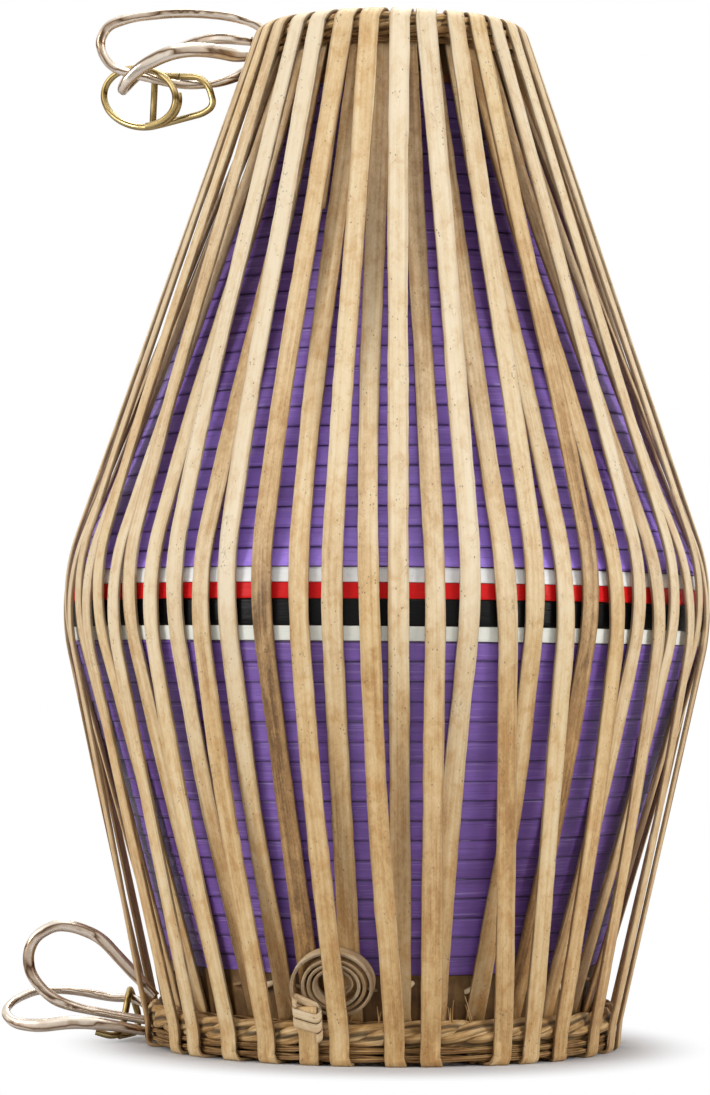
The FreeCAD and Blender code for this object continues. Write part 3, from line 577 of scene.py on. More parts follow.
def rawhideShades():
    shades = Shades("rawhideLace", roughness=0.5, specular=0.4)
    tone, warmth, edge = shades.mark("tone"), shades.mark("warmth"), shades.mark("edge")
    streaks = shades.noise("grainPlace", (7, 430, 1), 4, 0.6)
    broad = shades.noise("grainPlace", (17, 110, 1), 4, 0.6, 0.6)
    blotches = shades.noise("grainPlace", (95, 135, 1), 5, 0.62, 0.5)
    fine = shades.noise("grainPlace", (520, 900, 1), 2, 0.6)
    level = tone
    grains = ((broad, -0.12, 0.12), (streaks, -0.13, 0.12), (blotches, 0.09, -0.11), (fine, -0.05, 0.05))
    for grain, low, high in grains:
        level = shades.plus(level, shades.span(grain, 0.3, 0.7, low, high))
    pale, tan = (shades.ramp(level, list(zip(hide["steps"], hide[kind]))) for kind in ("pale", "tan"))
    colour = shades.mix(warmth, pale, tan)
    # orange brown blotches, more of them on the warm straps
    stain = shades.times(shades.span(blotches, 0.5, 0.72), shades.sum("MULTIPLY_ADD", warmth, 0.36, 0.10))
    colour = shades.mix(stain, colour, hide["blotch"])
    # painted shade: tan towards the edges, as the rounded strap turns from the light, and a dark line on the cut
    # sides for their shadow
    paintedEdgeShade = shades.times(shades.span(edge, 0.52, 0.97), shades.span(streaks, 0.35, 0.6, 0.55, 0.2))
    colour = shades.mix(paintedEdgeShade, colour, hide["edge"])
    colour = shades.mix(shades.span(edge, 0.955, 0.99, 0, 0.55), colour, hide["mark"])
    # dark specks, and short curved scars
    specks = shades.cells("grainPlace", (300, 430, 1))
    rare = shades.span(shades.noise("grainPlace", (60, 90, 1), 2), 0.52, 0.62)
    speck = shades.times(shades.span(specks, 0.24, 0.10), rare)
    scars = shades.noise("grainPlace", (150, 210, 1), 1, 0.5, 0.8)
    scarred = shades.span(shades.noise("grainPlace", (45, 90, 1.7), 2), 0.6, 0.68)
    thin = shades.span(shades.sum("ABSOLUTE", shades.sum("SUBTRACT", scars, 0.5)), 0.018, 0.006)
    scar = shades.times(shades.times(thin, scarred), 0.55)
    colour = shades.mix(shades.times(shades.sum("MAXIMUM", speck, scar), 0.62), colour, hide["mark"])
    height = shades.plus(shades.span(streaks, 0.25, 0.75), shades.times(blotches, 0.8))
    height = shades.sum("SUBTRACT", height, shades.times(scar, 0.6))
    return shades.finish(colour, shades.span(broad, 0.3, 0.7, 0.42, 0.6), shades.bump(height, 0.25, 0.8))


rawhide = rawhideShades()


def toneAlong(kind, lap, heights):
    # tone and warmth of a run at each height
    table = runTones.get((kind, lap))
    random = np.random.default_rng(500 + lap * 7 + (3 if kind == "fall" else 0))
    if table is None:
        shift, warm = random.uniform(*spareTones["shift"]), random.uniform(*spareTones["warmth"])
        (top, low), belly = spareTones[kind], spareTones["belly"]
        table = [(600, top + shift, warm), (264, belly + shift, warm), (30, low + shift, min(1, warm + 0.2))]
    rows = np.array(table)[::-1]
    # painted bounce light: every run is painted more orange below the belly
    paintedBounceWarmth = 0.4 * np.clip((270 - heights) / 90, 0, 1)
    return np.interp(heights, rows[:, 0], rows[:, 1]), np.interp(heights, rows[:, 0], rows[:, 2]) + paintedBounceWarmth


def makeLap(lap):
    stations = lapStations(lap)
    centres = polar(stations[:, 0], stations[:, 2], stations[:, 1])
    slope = np.gradient(stations[:, :2], axis=0)
    away = outward(stations[:, 2]) * slope[:, 1:2]
    away[:, 2] = -slope[:, 0]
    side, face = frames(centres, away)
    places = lengthAlong(centres)
    profiles = strapProfile(places, lace["width"], lace["thickness"], 100 + lap * 23)
    profiles[centres[:, 2] < lace["footTop"]] *= lace["footShare"]
    points, faces = sweep(centres, side, face, profiles)
    points[:, 2] = np.maximum(points[:, 2], lace["floorTop"])
    rise, riseWarm = toneAlong("rise", lap, stations[:, 1])
    fall, fallWarm = toneAlong("fall", lap, stations[:, 1])
    # the shade passes from one run to the other over the crown
    window = 2 * lace["blend"] + 1
    past = np.pad((stations[:, 3] > 0).astype(float), lace["blend"], mode="edge")
    turn = np.convolve(past, np.ones(window) / window, "valid")
    tone = rise * (1 - turn) + fall * turn + wander(places, *lace["toneWander"], lap + 40)
    warm = riseWarm * (1 - turn) + fallWarm * turn + wander(places, *lace["warmthWander"], lap + 90)
    underSide = np.arange(profiles.shape[1]) >= len(strap["across"])
    layer = lap * lace["layerStep"] + underSide * lace["underLayer"]
    marks = strapMarks(places, profiles, layer, tone[:, None], warm[:, None])
    addPiece(f"laceLap{lap + 1:02d}", (points, faces, marks), rawhide, "rawhide", f"lace_lap_{lap + 1:02d}")


for lap in range(lace["laps"]):
    makeLap(lap)
print("lace laps are laced")

shellLine = [(118.2, 8), (124.5, 50), (181.8, 232), (184.6, 256), (180.8, 281), (61.9, 560), (60.9, 591.5)]
windings = {
    "upper": {"low": shellLine[4], "high": shellLine[5], "base": 275.8, "top": 560.0, "turns": 24},
    "lower": {"low": shellLine[1], "high": shellLine[2], "base": 49.5, "top": 235.0, "turns": 16},
    "gap": 0.7, "inside": 0.35, "outside": 1.25, "lap": 0.9, "spare": 0.9, "degrees": 2.5, "radius": 140,
    "turnLength": 60, "ruffles": ((1.3, 0.22, 11), (4.1, 0.35, 12)), "puff": (0.9, 0.10, 13),
    "bellyTop": 262, "paintedLight": (270, 210.0), "paintedLightBelow": 0.24,
}


def tapeShades(name, colour, deep, light, roughness=0.3, streak=1.0, paintedLitColour=None):
    shades = Shades(name, roughness=roughness, specular=0.4 if paintedLitColour else 0.12)
    streaks = shades.noise("tapePlace", (20, 640, 1), 4, 0.6, 0.4)
    folds = shades.noise("tapePlace", (60, 260, 1), 3, 0.5, 0.9)
    patch = shades.noise("tapePlace", (14, 40, 1), 3, 0.5)
    edge = shades.mark("edge")
    # painted light: the lit colour is mixed in by the belly mark
    if paintedLitColour:
        colour = shades.mix(shades.mark("belly"), colour, paintedLitColour)
    tone = shades.mix(shades.span(patch, 0.35, 0.7, 0, 0.4), colour, deep)
    tone = shades.mix(shades.span(streaks, 0.54, 0.74, 0, 0.4 * streak), tone, light)
    tone = shades.mix(shades.span(streaks, 0.44, 0.3, 0, 0.4 * streak), tone, deep)
    # painted shadow: a dark line under the next turn's edge; painted highlights: thin pale glints near it
    tone = shades.mix(shades.span(edge, 0.66, 0.88, 0, 0.75), tone, [0.3 * part for part in deep])
    paintedGlint = shades.span(shades.noise("tapePlace", (34, 1500, 1), 2, 0.5, 0.5), 0.60, 0.70)
    paintedGlint = shades.times(paintedGlint, shades.span(edge, -0.1, 0.5, 0, 0.5 * streak))
    tone = shades.mix(paintedGlint, tone, light)
    height = shades.plus(shades.span(streaks, 0.3, 0.75), shades.span(folds, 0.55, 0.72))
    normal = shades.bump(height, 0.28, 0.7 * streak)
    return shades.finish(tone, shades.span(patch, 0.3, 0.7, roughness - 0.06, roughness + 0.12), normal)


# the last colour is painted light, mixed into the tape round the belly
purplePaint = {"colour": (112, 74, 150), "deep": (82, 50, 110), "light": (188, 168, 220), "paintedLitColour": (174, 136, 244)}
purpleTape = tapeShades("purpleTape", roughness=0.38, **purplePaint)


def makeWinding(which, node):
    # one long strip of thin tape; each turn's lower edge laps over the turn below
    cone, tape = windings[which], windings
    slope = (cone["high"][0] - cone["low"][0]) / (cone["high"][1] - cone["low"][1])
    slant = math.hypot(1, slope)
    pitch = (cone["top"] - cone["base"] + tape["gap"] / slant) / (cone["turns"] + 1)
    turns = np.arange(-tape["spare"], cone["turns"] + tape["spare"] + 1e-6, tape["degrees"] / 360)
    half = pitch / 2
    outline = np.array([
        (-half - tape["lap"] / 2, 0.86), (-half - tape["lap"] / 2, 1.0), (-half * 0.8, 0.94), (-half * 0.2, 0.7),
        (half * 0.4, 0.52), (half, 0.45), (half + tape["lap"] / 2, 0.4), (half + tape["lap"] / 2, 0.1), (0, 0.1),
    ])
    heights = cone["base"] + half + pitch * turns
    rise = outline[None, :, 0] + np.zeros((len(turns), 1))
    depth = tape["inside"] + (tape["outside"] - tape["inside"]) * outline[None, :, 1]
    length = (turns - turns[0]) * tape["turnLength"]
    rise[:, :3] += sum(wander(length, *ruffle) for ruffle in tape["ruffles"])[:, None]
    puff = wander(length, *tape["puff"])
    depth = depth + np.array([0.2, 1, 0.8, 0.5, 0.3, 0, 0, 0, 0]) * puff[:, None]
    heights = np.clip(heights[:, None] + rise, cone["base"], cone["top"])
    radii = cone["low"][0] + slope * (heights - cone["low"][1]) + depth * slant
    across = np.repeat(outline[None, :, 0], len(turns), 0).ravel()
    run = np.repeat(np.arange(1, len(turns) + 1) * math.radians(tape["degrees"]) * tape["radius"], len(outline))
    # painted light: the tape is painted paler just above the belly, fading out towards the top, and a little
    # paler on the lower winding
    tall, (start, reach) = heights.ravel(), tape["paintedLight"]
    paintedLight = np.where(tall < tape["bellyTop"], tape["paintedLightBelow"], np.clip(1.05 - (tall - start) / reach, 0, 1))
    marks = {
        "tapePlace": np.stack([run * mm, across * mm, run * 0], -1),
        "edge": across / half,
        "belly": paintedLight,
    }
    shape = (*turned(radii, turns, heights, closed=False), marks)
    addPiece(which + "Winding", shape, purpleTape, "purple_tape", node)


makeWinding("upper", "upper_winding")
makeWinding("lower", "lower_winding")

bands = {
    "whiteUpper": {"node": "white_band_upper", "slot": "white_tape", "from": 267.0, "to": 275.5,
                   "paint": ((252, 253, 251), (232, 234, 230), (255, 255, 254))},
    "red": {"node": "red_band", "slot": "red_tape", "from": 258.0, "to": 267.0,
            "paint": ((226, 30, 30), (196, 18, 20), (244, 58, 48))},
    "black": {"node": "black_band", "slot": "black_tape", "from": 243.4, "to": 258.0,
              "paint": ((13, 12, 12), (7, 7, 7), (26, 24, 24))},
    "whiteLower": {"node": "white_band_lower", "slot": "white_tape", "from": 235.1, "to": 243.4,
                   "paint": ((240, 240, 229), (220, 220, 208), (250, 250, 242))},
}
bandShape = {
    "steps": 240, "inset": 0.15, "waves": (3, 7, 13), "waver": 0.16, "radius": 185,
    "shares": (0, 0, 0.06, 0.24, 0.26, 0.5, 0.52, 0.76, 0.78, 0.94, 1, 1),
    "depths": (0.35, 1.1, 1.25, 1.22, 1.16, 1.22, 1.15, 1.22, 1.16, 1.25, 1.1, 0.35),
}


def bellyRadius(heights):
    # the rounded belly between the two cones, through its three points
    (ax, ay), (bx, by), (cx, cy) = shellLine[2:5]
    d = 2 * (ax * (by - cy) + bx * (cy - ay) + cx * (ay - by))
    squares = [ax * ax + ay * ay, bx * bx + by * by, cx * cx + cy * cy]
    ux = (squares[0] * (by - cy) + squares[1] * (cy - ay) + squares[2] * (ay - by)) / d
    uy = (squares[0] * (cx - bx) + squares[1] * (ax - cx) + squares[2] * (bx - ax)) / d
    return ux + np.sqrt(np.hypot(ax - ux, ay - uy) ** 2 - (heights - uy) ** 2)


def makeBand(name, band):
    turns = np.arange(bandShape["steps"]) / bandShape["steps"]
    low, high = band["from"] + bandShape["inset"], band["to"] - bandShape["inset"]
    shares = np.array(bandShape["shares"])
    waver = ringWander(turns, bandShape["waves"], bandShape["waver"], sum(map(ord, name)))
    heights = low + (high - low) * shares + waver[:, None] * np.clip(1 - np.abs(shares * 2 - 1), 0, 1)
    run = np.repeat(turns * 2 * np.pi * bandShape["radius"], len(shares))
    marks = {"tapePlace": np.stack([run * mm, heights.ravel() * mm, run * 0], -1), "edge": run * 0}
    shades = tapeShades(name + "Tape", *band["paint"], roughness=0.34, streak=0.6)
    shape = (*turned(bellyRadius(heights) + bandShape["depths"], turns, heights), marks)
    addPiece(name + "Band", shape, shades, band["slot"], band["node"])


for name, band in bands.items():
    makeBand(name, band)
print("tape is wound")

heads = {"skinThick": 1.5, "skirtTop": 49.2}


def hideShades(name, pale, middle, dark):
    shades = Shades(name, roughness=0.6, specular=0.35)
    cloud = shades.noise(None, 38, 5, 0.62, 0.6)
    pores = shades.noise(None, 700, 3, 0.6)
    folds = shades.noise(None, (160, 160, 26), 4, 0.6, 0.8)
    level = shades.plus(shades.times(cloud, 0.6), shades.times(folds, 0.4))
    colour = shades.ramp(level, [(0.3, dark), (0.48, middle), (0.68, pale)])
    colour = shades.mix(shades.span(pores, 0.6, 0.8, 0, 0.3), colour, dark)
    height = shades.plus(folds, shades.times(pores, 0.3))
    return shades.finish(colour, shades.span(cloud, 0.3, 0.7, 0.5, 0.72), shades.bump(height, 0.5, 0.8))


def pasteShades():
    shades = Shades("blackPaste", roughness=0.62, specular=0.3)
    cracks = shades.cells(None, 520, "DISTANCE_TO_EDGE")
    dust = shades.noise(None, 60, 5, 0.6)
    colour = shades.mix(shades.span(dust, 0.4, 0.75), (24, 22, 22), (52, 48, 46))
    colour = shades.mix(shades.span(cracks, 0.05, 0.0), colour, (8, 7, 7))
    height = shades.plus(shades.span(cracks, 0.0, 0.08), shades.times(dust, 0.4))
    return shades.finish(colour, None, shades.bump(height, 0.3, 0.7))


# the head skin is dark brown hide, painted darker still for the shade under the laces
headSkin = hideShades("headSkin", (150, 116, 70), (104, 74, 38), (56, 36, 16))
rimSkin = hideShades("rimSkin", (214, 190, 150), (180, 146, 98), (120, 88, 50))
blackPaste = pasteShades()


def makeRound(name, base, outline, material, slot, node, ripple=0.0, steps=160, seed=1):
    # a round piece from rows of radius, height over its base and how far its skirt ripples there
    turns = np.arange(steps) / steps
    radii, heights, loose = np.array([(*spot, 0)[:3] for spot in outline]).T
    radii = radii + loose * ripple * ringWander(turns, (5, 11, 17, 29, 41), 1.0, seed)[:, None]
    heights = base + heights + loose * ripple * 1.6 * ringWander(turns, (4, 9, 15, 23), 1.0, seed + 1)[:, None]
    addPiece(name, (*turned(radii, turns, heights), {}), material, slot, node)


trebleSeat = shellLine[-1][1] + seatGap
trebleFace = trebleSeat + heads["skinThick"]
makeRound("trebleSkin", 0, [
    (0.05, trebleSeat), (61.0, trebleSeat), (62.2, trebleSeat - 2), (62.2, 580, 0.5), (62.2, 565.5, 1),
    (63.4, 565.8, 1), (63.6, 580, 0.6), (63.6, trebleFace - 2), (62.8, trebleFace - 0.4), (61.2, trebleFace),
    (0.05, trebleFace),
], headSkin, "head_skin", "treble_skin", ripple=0.5, seed=21)
makeRound("trebleRimSkin", trebleFace + seatGap, [
    (36, 0), (60.8, 0), (60.8, 0.9), (58, 1), (48, 1), (37, 1), (36, 0.6),
], rimSkin, "rim_skin", "treble_rim_skin", seed=22)
makeRound("treblePaste", trebleFace + seatGap, [
    (0.05, 0), (22, 0), (22, 0.5), (20.5, 0.9), (16, 1.7), (12, 2.3), (6, 2.5), (0.05, 2.5),
], blackPaste, "paste", "treble_paste", seed=23)

(bassRadius, bassRim), (seatRadius, seatHeight) = shellLine[:2]
bassSeat = bassRim - seatGap
bassFace = bassSeat - heads["skinThick"]


def skirtInside(height):
    return bassRadius + (seatRadius - bassRadius) / (seatHeight - bassRim) * (height - bassRim) + seatGap


inner = {height: skirtInside(height) for height in (bassSeat, 20, 36, heads["skirtTop"])}
outer = {height: radius + heads["skinThick"] for height, radius in inner.items()}
makeRound("bassSkin", 0, [
    (0.05, bassSeat), (inner[bassSeat], bassSeat), (inner[20], 20), (inner[36], 36, 0.5),
    (inner[heads["skirtTop"]], heads["skirtTop"], 1), (outer[heads["skirtTop"]], heads["skirtTop"] + 0.3, 1),
    (outer[36], 36, 0.5), (outer[20], 20), (outer[bassSeat], bassSeat + 1),
    (skirtInside(bassFace) + 0.8, bassFace + 0.1), (skirtInside(bassFace) - 1, bassFace), (0.05, bassFace),
], headSkin, "head_skin", "bass_skin", ripple=0.7, seed=24)
makeRound("bassRimSkin", bassFace - seatGap, [
    (72, 0), (72, -1), (100, -1), (116, -1), (116, 0),
], rimSkin, "rim_skin", "bass_rim_skin", seed=25)
makeRound("bassPaste", bassFace - seatGap, [
    (0.05, 0), (0.05, -2.1), (20, -2.1), (30, -2), (44, -1.3), (53, -0.8), (55, -0.5), (55, 0),
], blackPaste, "paste", "bass_paste", seed=26)
print("heads are made")


def strandShades(name, pale, middle, dark):
    shades = Shades(name, roughness=0.6, specular=0.3)
    groove = shades.mark("groove")
    fibres = shades.noise("grainPlace", (14, 900, 1), 4, 0.65, 0.3)
    cloud = shades.noise("grainPlace", (60, 130, 1), 4, 0.6, 0.5)
    level = shades.plus(shades.times(fibres, 0.55), shades.times(cloud, 0.45))
    colour = shades.ramp(level, [(0.34, dark), (0.46, middle), (0.62, pale)])
    # painted shade: darker down in the grooves between the strands' folds
    colour = shades.mix(shades.span(groove, 0.45, 0.0, 0, 0.8), colour, [0.45 * part for part in dark])
    return shades.finish(colour, None, shades.bump(fibres, 0.8, 1.0))


twistedHide = strandShades("twistedHide", (226, 196, 146), (182, 140, 84), (98, 66, 30))
caneStrip = strandShades("caneStrip", (190, 152, 98), (144, 104, 58), (74, 46, 20))


def twistedRing(hoop, height, seed, steps=900):
    # strands of split hide laid round one another into a ring
    parts = []
    ring, thick, strands, ridges = (hoop[name] for name in ("ring", "thick", "strands", "ridges"))
    turns = np.arange(steps) / steps
    turning = 2 * np.pi * turns
    outwards, upwards = outward(360 * turns), np.tile([0.0, 0.0, 1.0], (steps, 1))
    corners = 24
    spin = np.linspace(0, 2 * np.pi, corners, endpoint=False)[None]
    lay = 0.46 if strands > 2 else 0.5  # how far from the ring's middle line its strands lie, as a share
    for strand in range(strands):
        wave = ringWander(turns, (5, 9, 14, 23), 0.2, seed + strand)
        phase = hoop["twists"] * turning + 2 * np.pi * strand / strands + ringWander(turns, (3, 7, 11), 0.8, seed)
        reach = thick / 2 * lay
        middle = polar(np.full(steps, ring), 360 * turns, height)
        middle = middle + outwards * (reach * np.cos(phase))[:, None] + upwards * (reach * np.sin(phase))[:, None]
        body = thick / 2 * (1 - lay) * 1.06 * (1 + wave)
        folds = np.cos(ridges * (spin + phase[:, None] * 0.35) + 3 * wave[:, None])
        shape = 1 + hoop["ridge"] * folds + 0.05 * np.cos(9 * spin + 6 * phase[:, None])
        reachOut = body[:, None] * shape * (1 + 0.16 * np.cos(spin - phase[:, None] + np.pi / 2) ** 2)
        profiles = np.stack([reachOut * np.cos(spin), reachOut * np.sin(spin)], -1)
        run = np.repeat(turning * ring, corners)
        around = np.tile(spin[0], steps) * thick / 4
        parts.append((*sweep(middle, outwards, upwards, profiles, closed=True), {
            "grainPlace": np.stack([run * mm, around * mm, np.full(len(run), strand * 1.9)], -1),
            "groove": (0.5 + 0.5 * folds).ravel(),
        }))
    return joined(parts)


fray = {
    "count": 26, "thick": 0.42, "angles": (-38, 38), "thicket": (9, 17), "inThicket": 10, "length": (9, 22),
    "height": 23.5, "lean": 0.11, "bend": 0.05, "aside": (-1, 4), "stations": 7, "corners": 5,
}


def makeFray():
    # loose fibres that stand up from the bass hoop
    random = np.random.default_rng(3)
    parts = []
    stations, corners = fray["stations"], fray["corners"]
    spin = np.linspace(0, 2 * np.pi, corners, endpoint=False)
    share = np.linspace(0, 1, stations)
    for index in range(fray["count"]):
        angle = random.uniform(*fray["thicket" if index < fray["inThicket"] else "angles"])
        length = random.uniform(*fray["length"])
        lean = random.uniform(-fray["lean"], fray["lean"]) * length
        bend = random.uniform(-fray["bend"], fray["bend"]) * length
        angles = angle + lean * share + bend * share ** 2
        rise = fray["height"] + length * 0.8 * (share - 0.25 * random.uniform() * share ** 2)
        ring = hoops["bassHoop"]["ring"] + random.uniform(*fray["aside"])
        centres = polar(np.full(stations, ring), angles, rise)
        taper = fray["thick"] * (1 - 0.6 * share[:, None])
        profiles = np.stack([np.cos(spin) * taper, np.sin(spin) * taper], -1)
        grain = np.tile([0.3 * index, 0, 0], (stations * corners, 1))
        marks = {"grainPlace": grain, "groove": np.full(stations * corners, 0.9)}
        parts.append((*sweep(centres, *frames(centres, outward(angles)), profiles), marks))
    return joined(parts)


for name, hoop in hoops.items():
    material = twistedHide if hoop["slot"] == "twisted_hide" else caneStrip
    shape = twistedRing(hoop, hoop["height"], 31)
    if name == "bassHoop":
        shape = joined([shape, makeFray()])
    addPiece(name, shape, material, hoop["slot"], hoop["node"])

canes = [
    twistedRing(bassCanes, path["caneLevel"] + bassCanes["step"] * index, 51 + index)
    for index in range(bassCanes["count"])
]
addPiece("bassCaneRings", joined(canes), caneStrip, "cane", "bass_cane_rings")
print("hoops are twisted")

thong = {
    "count": 40, "height": 42.5, "width": 3.0, "thickness": 2.2, "length": 10.0, "tilt": 2.4, "shift": 2.5,
    "lift": 0.6, "pale": (-31.2, 4.8, 22.8, 49.8), "loose": 2.2, "stations": 9, "corners": 12,
}


def makeThong():
    # running stitches round the skirt; the few that stand out in the photo are paler and looser
    parts = []
    inside = skirtInside(thong["height"] + thong["width"] / 2) + heads["skinThick"] + seatGap
    sweepDegrees = math.degrees(thong["length"] / inside)
    random = np.random.default_rng(7)
    share = np.linspace(0, 1, thong["stations"])
    bulge = np.sin(np.pi * share)
    spin = np.linspace(0, 2 * np.pi, thong["corners"], endpoint=False)
    for index in range(thong["count"]):
        angles = (360 * index / thong["count"] + 180) % 360 - 180 + thong["shift"] + sweepDegrees * share
        pale = min(abs(angles[len(angles) // 2] - spot) for spot in thong["pale"]) < 2
        loose = thong["loose"] if pale else 1.0
        lift = thong["tilt"] * (share - 0.5) * random.choice([-1, 1]) * random.uniform(0.6, 1.4) * loose
        centres = polar(inside + thong["lift"] + loose * bulge, angles, thong["height"] + lift)
        taper = (0.7 + 0.3 * bulge)[:, None] * (1.25 if pale else 0.8)
        wide, thick = np.cos(spin) * thong["width"] / 2, np.sin(spin) * thong["thickness"] / 2
        profiles = np.stack([wide * taper, thick * taper], -1)
        marks = strapMarks(share * thong["length"], profiles, index * 1.7, 0.62 if pale else 0.05, 0.2)
        parts.append((*sweep(centres, *frames(centres, outward(angles)), profiles), marks))
    addPiece("skirtThong", joined(parts), rawhide, "rawhide", "bass_skirt_thong")


makeThong()

coil = {
    "angle": -10.2, "height": 47.5, "shift": -3.0, "width": 10.4, "thickness": 1.9, "eye": 9.4, "pitch": 3.2,
    "looseStep": 3.6, "looseTurn": 2.8, "heightShare": 0.87, "turns": 3.82, "start": -0.25,
    "pinch": 3.4, "pinchTurn": 0.11, "pinchReach": 0.13,
    "look": {"seed": 900, "lively": 0.7, "layer": 153.0, "tone": 0.56, "warmth": 0.35},
}
tie = {
    "base": 22.0, "width": 5.2, "thickness": 1.8, "step": 5.7, "turns": 3, "droop": (3.5, 7.0), "slant": 0.32,
    "look": {"seed": 950, "lively": 0.6, "layer": 161.5, "tone": 0.58, "warmth": 0.35},
}


def addStrap(name, node, strip, centres, sides, faces):
    # a piece of loose lace along these centres
    places, look = lengthAlong(centres), strip["look"]
    profiles = strapProfile(places, strip["width"], strip["thickness"], look["seed"], look["lively"])
    marks = strapMarks(places, profiles, look["layer"], look["tone"], look["warmth"])
    addPiece(name, (*sweep(centres, sides, faces, profiles), marks), rawhide, "rawhide", node)


def onRun(end, low, high, angle):
    # a point on a straight run by height, and the directions up along it, across it and away from the drum
    (foot, rise), (head, top) = alongRun(end, low), alongRun(end, high)
    point = polar(foot, angle, rise)
    up = unit(polar(head, angle, top) - point)
    turn = math.radians(angle)
    side = np.array([math.cos(turn), math.sin(turn), 0])
    return point, up, side, np.cross(side, up)


def makeCoil():
    # a flat spiral that stands on its edge, pinched where the hitch holds it
    back, up, side, out = onRun(path["under"][-1], coil["height"], coil["height"] + coil["width"], coil["angle"])
    middle = back + out * (lace["thickness"] / 2 + seatGap + coil["width"] / 2) + side * coil["shift"]
    turns = np.arange(0, coil["turns"] + 1e-6, 1 / 64)
    loose = np.maximum(turns - coil["looseTurn"], 0)
    pinch = coil["pinch"] * np.exp(-((turns - coil["pinchTurn"]) / coil["pinchReach"]) ** 2)
    radius = coil["eye"] + coil["pitch"] * turns + coil["looseStep"] * loose ** 2 - pinch
    spin = 2 * np.pi * (turns + coil["start"])
    across, rise = radius * np.cos(spin), radius * coil["heightShare"] * np.sin(spin)
    centres = middle + side * across[:, None] + up * rise[:, None]
    along = unit(np.gradient(centres, axis=0))
    addStrap("laceCoil", "lace_coil", coil, centres, np.tile(out, (len(turns), 1)), np.cross(along, out))


makeCoil()


def makeTie():
    # three turns of strap round the stub, shown as one hitch
    foot, up, side, out = onRun(path["falling"][-1], tie["base"], lace["stubTop"], lace["stubAngle"])
    reach = lace["thickness"] / 2 + seatGap + tie["thickness"] / 2
    flat = lace["width"] / 2 + seatGap - reach / 3
    centres, looks = [], []
    for lap in range(tie["turns"]):
        for end, first in ((1, -90), (-1, 90)):
            for step in np.linspace(0, 3, 10):
                angle = math.radians(first + 60 * step)
                look = out * math.sin(-angle) + side * math.cos(angle)
                share = (lap * 2 + (0 if end > 0 else 1) + step / 4) / 2
                droop = float(np.interp(look @ out, (-1, 1), tie["droop"]))
                middle = foot + up * (tie["width"] / 2 + tie["step"] * share - droop) + side * (flat * end)
                spot = middle + look * reach
                centres.append(spot - up * (tie["slant"] * ((spot - foot) @ side)))
                looks.append(look)
    addStrap("coilTie", "coil_tie", tie, np.array(centres), np.tile(up, (len(centres), 1)), np.array(looks))


makeTie()
print("thong, coil and hitch are made")


def clayShades():
    shades = Shades("bakedClay", roughness=0.85, specular=0.2)
    cloud = shades.noise(None, 26, 5, 0.6)
    grit = shades.noise(None, 900, 3, 0.7)
    colour = shades.mix(shades.span(cloud, 0.3, 0.7), (132, 78, 50), (168, 106, 70))
    return shades.finish(colour, None, shades.bump(grit, 0.3, 0.6))


def wireShades(name, colours, roughness):
    # painted reflection: polished wire painted pale above and below, with a dark line along its middle, by which
    # way each face points, as a bright room would show in it
    shades = Shades(name, roughness=roughness, metallic=1.0)
    smear = shades.noise(None, 34, 3, 0.5, 0.5)
    lumps = shades.noise(None, 70, 2, 0.5)
    upright = shades.node("SeparateXYZ", {0: shades.node("TexCoord", {}, "Normal")}, "Z")
    height = shades.plus(upright, shades.span(smear, 0.3, 0.7, -0.35, 0.35))
    pale, middle, dark = colours
    stops = [(0.0, middle), (0.36, pale), (0.45, middle), (0.5, dark), (0.58, middle), (0.7, pale), (1.0, pale)]
    colour = shades.ramp(shades.sum("MULTIPLY_ADD", height, 0.5, 0.5), stops)
    colour = shades.mix(shades.span(smear, 0.55, 0.72, 0, 0.6), colour, middle)
    dull = shades.span(smear, 0.3, 0.7, roughness - 0.06, roughness + 0.14)
    return shades.finish(colour, dull, shades.bump(lumps, 0.9, 0.5))


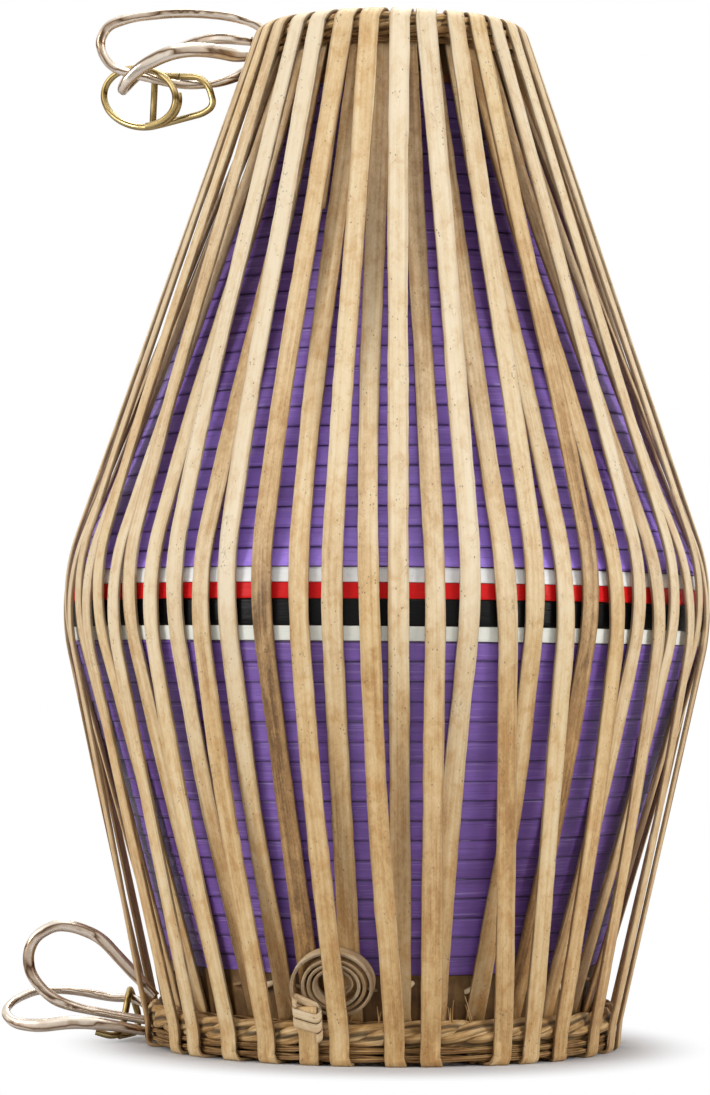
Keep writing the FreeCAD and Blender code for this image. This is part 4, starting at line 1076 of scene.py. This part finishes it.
# points along each wire, in thousandths of its reach, side and rise; tall is its height along it
loops = {
    "upperLoopLong": {
        "node": "upper_carry_loop_long", "foot": (73.0, 565.5), "reach": 100.4, "side": 4.4, "rise": 44.1,
        "shares": [
            (30, 0, 762), (100, 0, 865), (248, 0, 955), (514, 0, 1000), (808, 0, 925),
            (954, 0, 798), (1000, 0, 587), (981, 0, 397), (926, 0, 238), (830, 0, 155),
            (660, 0, 71), (608, 0, 39), (480, 0, 0), (304, 350, 29), (169, 850, 147),
            (78, 1000, 335), (54, 1000, 400),
        ],
        "tall": [(0, 5.2), (0.1, 6.4), (0.4, 6.4), (0.52, 5.2), (0.85, 5.2), (0.93, 6.0), (1, 5.2)],
    },
    "upperLoopShort": {
        "node": "upper_carry_loop_short", "foot": (73.0, 560.7), "reach": 87.2, "side": 12.0, "rise": 34.3,
        "shares": [
            (60, -60, 679), (216, -120, 656), (352, -600, 706), (521, -1000, 717),
            (690, -1050, 627), (859, -950, 399), (975, -600, 130), (1000, 0, 0),
            (945, 600, 213), (791, 1000, 609), (623, 1000, 837), (454, 800, 980),
            (319, 500, 1000), (108, 240, 933),
        ],
        "tall": [(0, 6.5), (0.08, 8.6), (0.3, 8.8), (0.42, 7.5), (0.5, 6), (0.6, 6.0), (0.9, 7), (1, 6)],
    },
    "lowerLoopUpright": {
        "node": "lower_carry_loop_upright", "foot": (131.4, 12.6), "reach": 78.1, "side": 3.0, "rise": 55.6,
        "shares": [
            (30, -1000, 252), (174, -1000, 457), (303, -1000, 646), (457, -1000, 878),
            (647, -1000, 982), (798, -1000, 1000), (948, -1000, 872), (1000, -1000, 691), (983, -1000, 500),
            (907, -1000, 342), (793, -1000, 205), (640, -1000, 131), (451, -1000, 81), (97, -1000, 0),
        ],
        "tall": [(0, 5.4), (0.1, 7), (0.7, 6.8), (0.8, 5.4), (1, 5.2)],
    },
    "lowerLoopFlat": {
        "node": "lower_carry_loop_flat", "foot": (131.4, 7.0), "reach": 92.0, "side": 14.0, "rise": 21.7,
        "shares": [
            (93, -714, 0), (254, -1100, 147), (511, -1140, 272), (768, -1000, 124),
            (928, -640, 175), (1000, -70, 442), (949, 570, 719), (801, 930, 995),
            (641, 1000, 1000), (512, 1000, 949), (320, 1000, 793), (175, 800, 806), (91, 250, 645),
        ],
        "tall": [(0, 5.4), (0.15, 7.6), (0.35, 7.6), (0.45, 6), (0.7, 5.6), (1, 5.2)],
    },
}
wire = {
    "thick": 5.0, "bend": 0.48, "step": 1.2, "squash": 0.12, "tallWander": (17, 0.22), "thickWander": (23, 0.16),
    "grooveDepth": 0.10, "grooveWidth": 0.16, "grooveFrom": 5.6,
}


def bentRoute(points):
    # straight between the points and round at each of them
    route = [points[:1]]
    for before, here, after in zip(points, points[1:], points[2:]):
        arriving, leaving = here - before, after - here
        trim = wire["bend"] * min(np.linalg.norm(arriving), np.linalg.norm(leaving))
        start, end = here - unit(arriving) * trim, here + unit(leaving) * trim
        share = np.linspace(0, 1, 9)[:, None]
        route.append(start * (1 - share) ** 2 + 2 * here * share * (1 - share) + end * share ** 2)
    route.append(points[-1:])
    rough = np.concatenate(route)
    along = lengthAlong(rough)
    even = np.arange(0, along[-1], wire["step"])
    return np.stack([np.interp(even, along, rough[:, axis]) for axis in range(3)], -1), even


def makeLoop(name, loop, seed):
    # a hand bent wire, hammered a little flat, with a faint groove along it
    foot = np.array([-loop["foot"][0], 0, loop["foot"][1]])
    shares = np.array(loop["shares"]) / 1000
    centres, places = bentRoute(foot + shares * [-loop["reach"], loop["side"], loop["rise"]])
    along = unit(np.gradient(centres, axis=0))
    side = np.empty_like(along)
    last = np.cross(along[0], (0, 0, 1))
    for index, heading in enumerate(along):
        last = unit(last - heading * (last @ heading))
        side[index] = last
    face = np.cross(side, along)
    tall = np.interp(places / places[-1], *zip(*loop["tall"])) + wander(places, *wire["tallWander"], seed)
    thick = wire["thick"] - wire["squash"] * (tall - wire["thick"])
    thick = thick + wander(places, *wire["thickWander"], seed + 1)
    spin = np.linspace(0, 2 * np.pi, 24, endpoint=False)[None]
    cut = wire["grooveDepth"] * np.exp(-(np.abs(np.sin(spin)) / wire["grooveWidth"]) ** 2)
    groove = 1 - cut * (tall[:, None] > wire["grooveFrom"])
    profiles = np.stack([thick[:, None] / 2 * np.cos(spin) * groove, tall[:, None] / 2 * np.sin(spin)], -1)
    addPiece(name, (*sweep(centres, side, face, profiles), {}), paleWire, "loop_wire", loop["node"])


paleWire = wireShades("paleWire", ((228, 216, 200), (176, 154, 132), (84, 60, 40)), 0.24)
for index, (name, loop) in enumerate(loops.items()):
    makeLoop(name, loop, 60 + index * 5)

dullBrass = wireShades("dullBrass", ((190, 172, 124), (144, 122, 76), (76, 58, 28)), 0.36)
dress = {"clay_shell": clayShades()}
for ring in ("upper_round_ring", "upper_d_ring", "lower_ring"):
    dress[ring] = dullBrass
for node, material in dress.items():
    nodes[node].data.materials.clear()
    nodes[node].data.materials.append(material)
print("loops are bent, clay and rings are dressed")
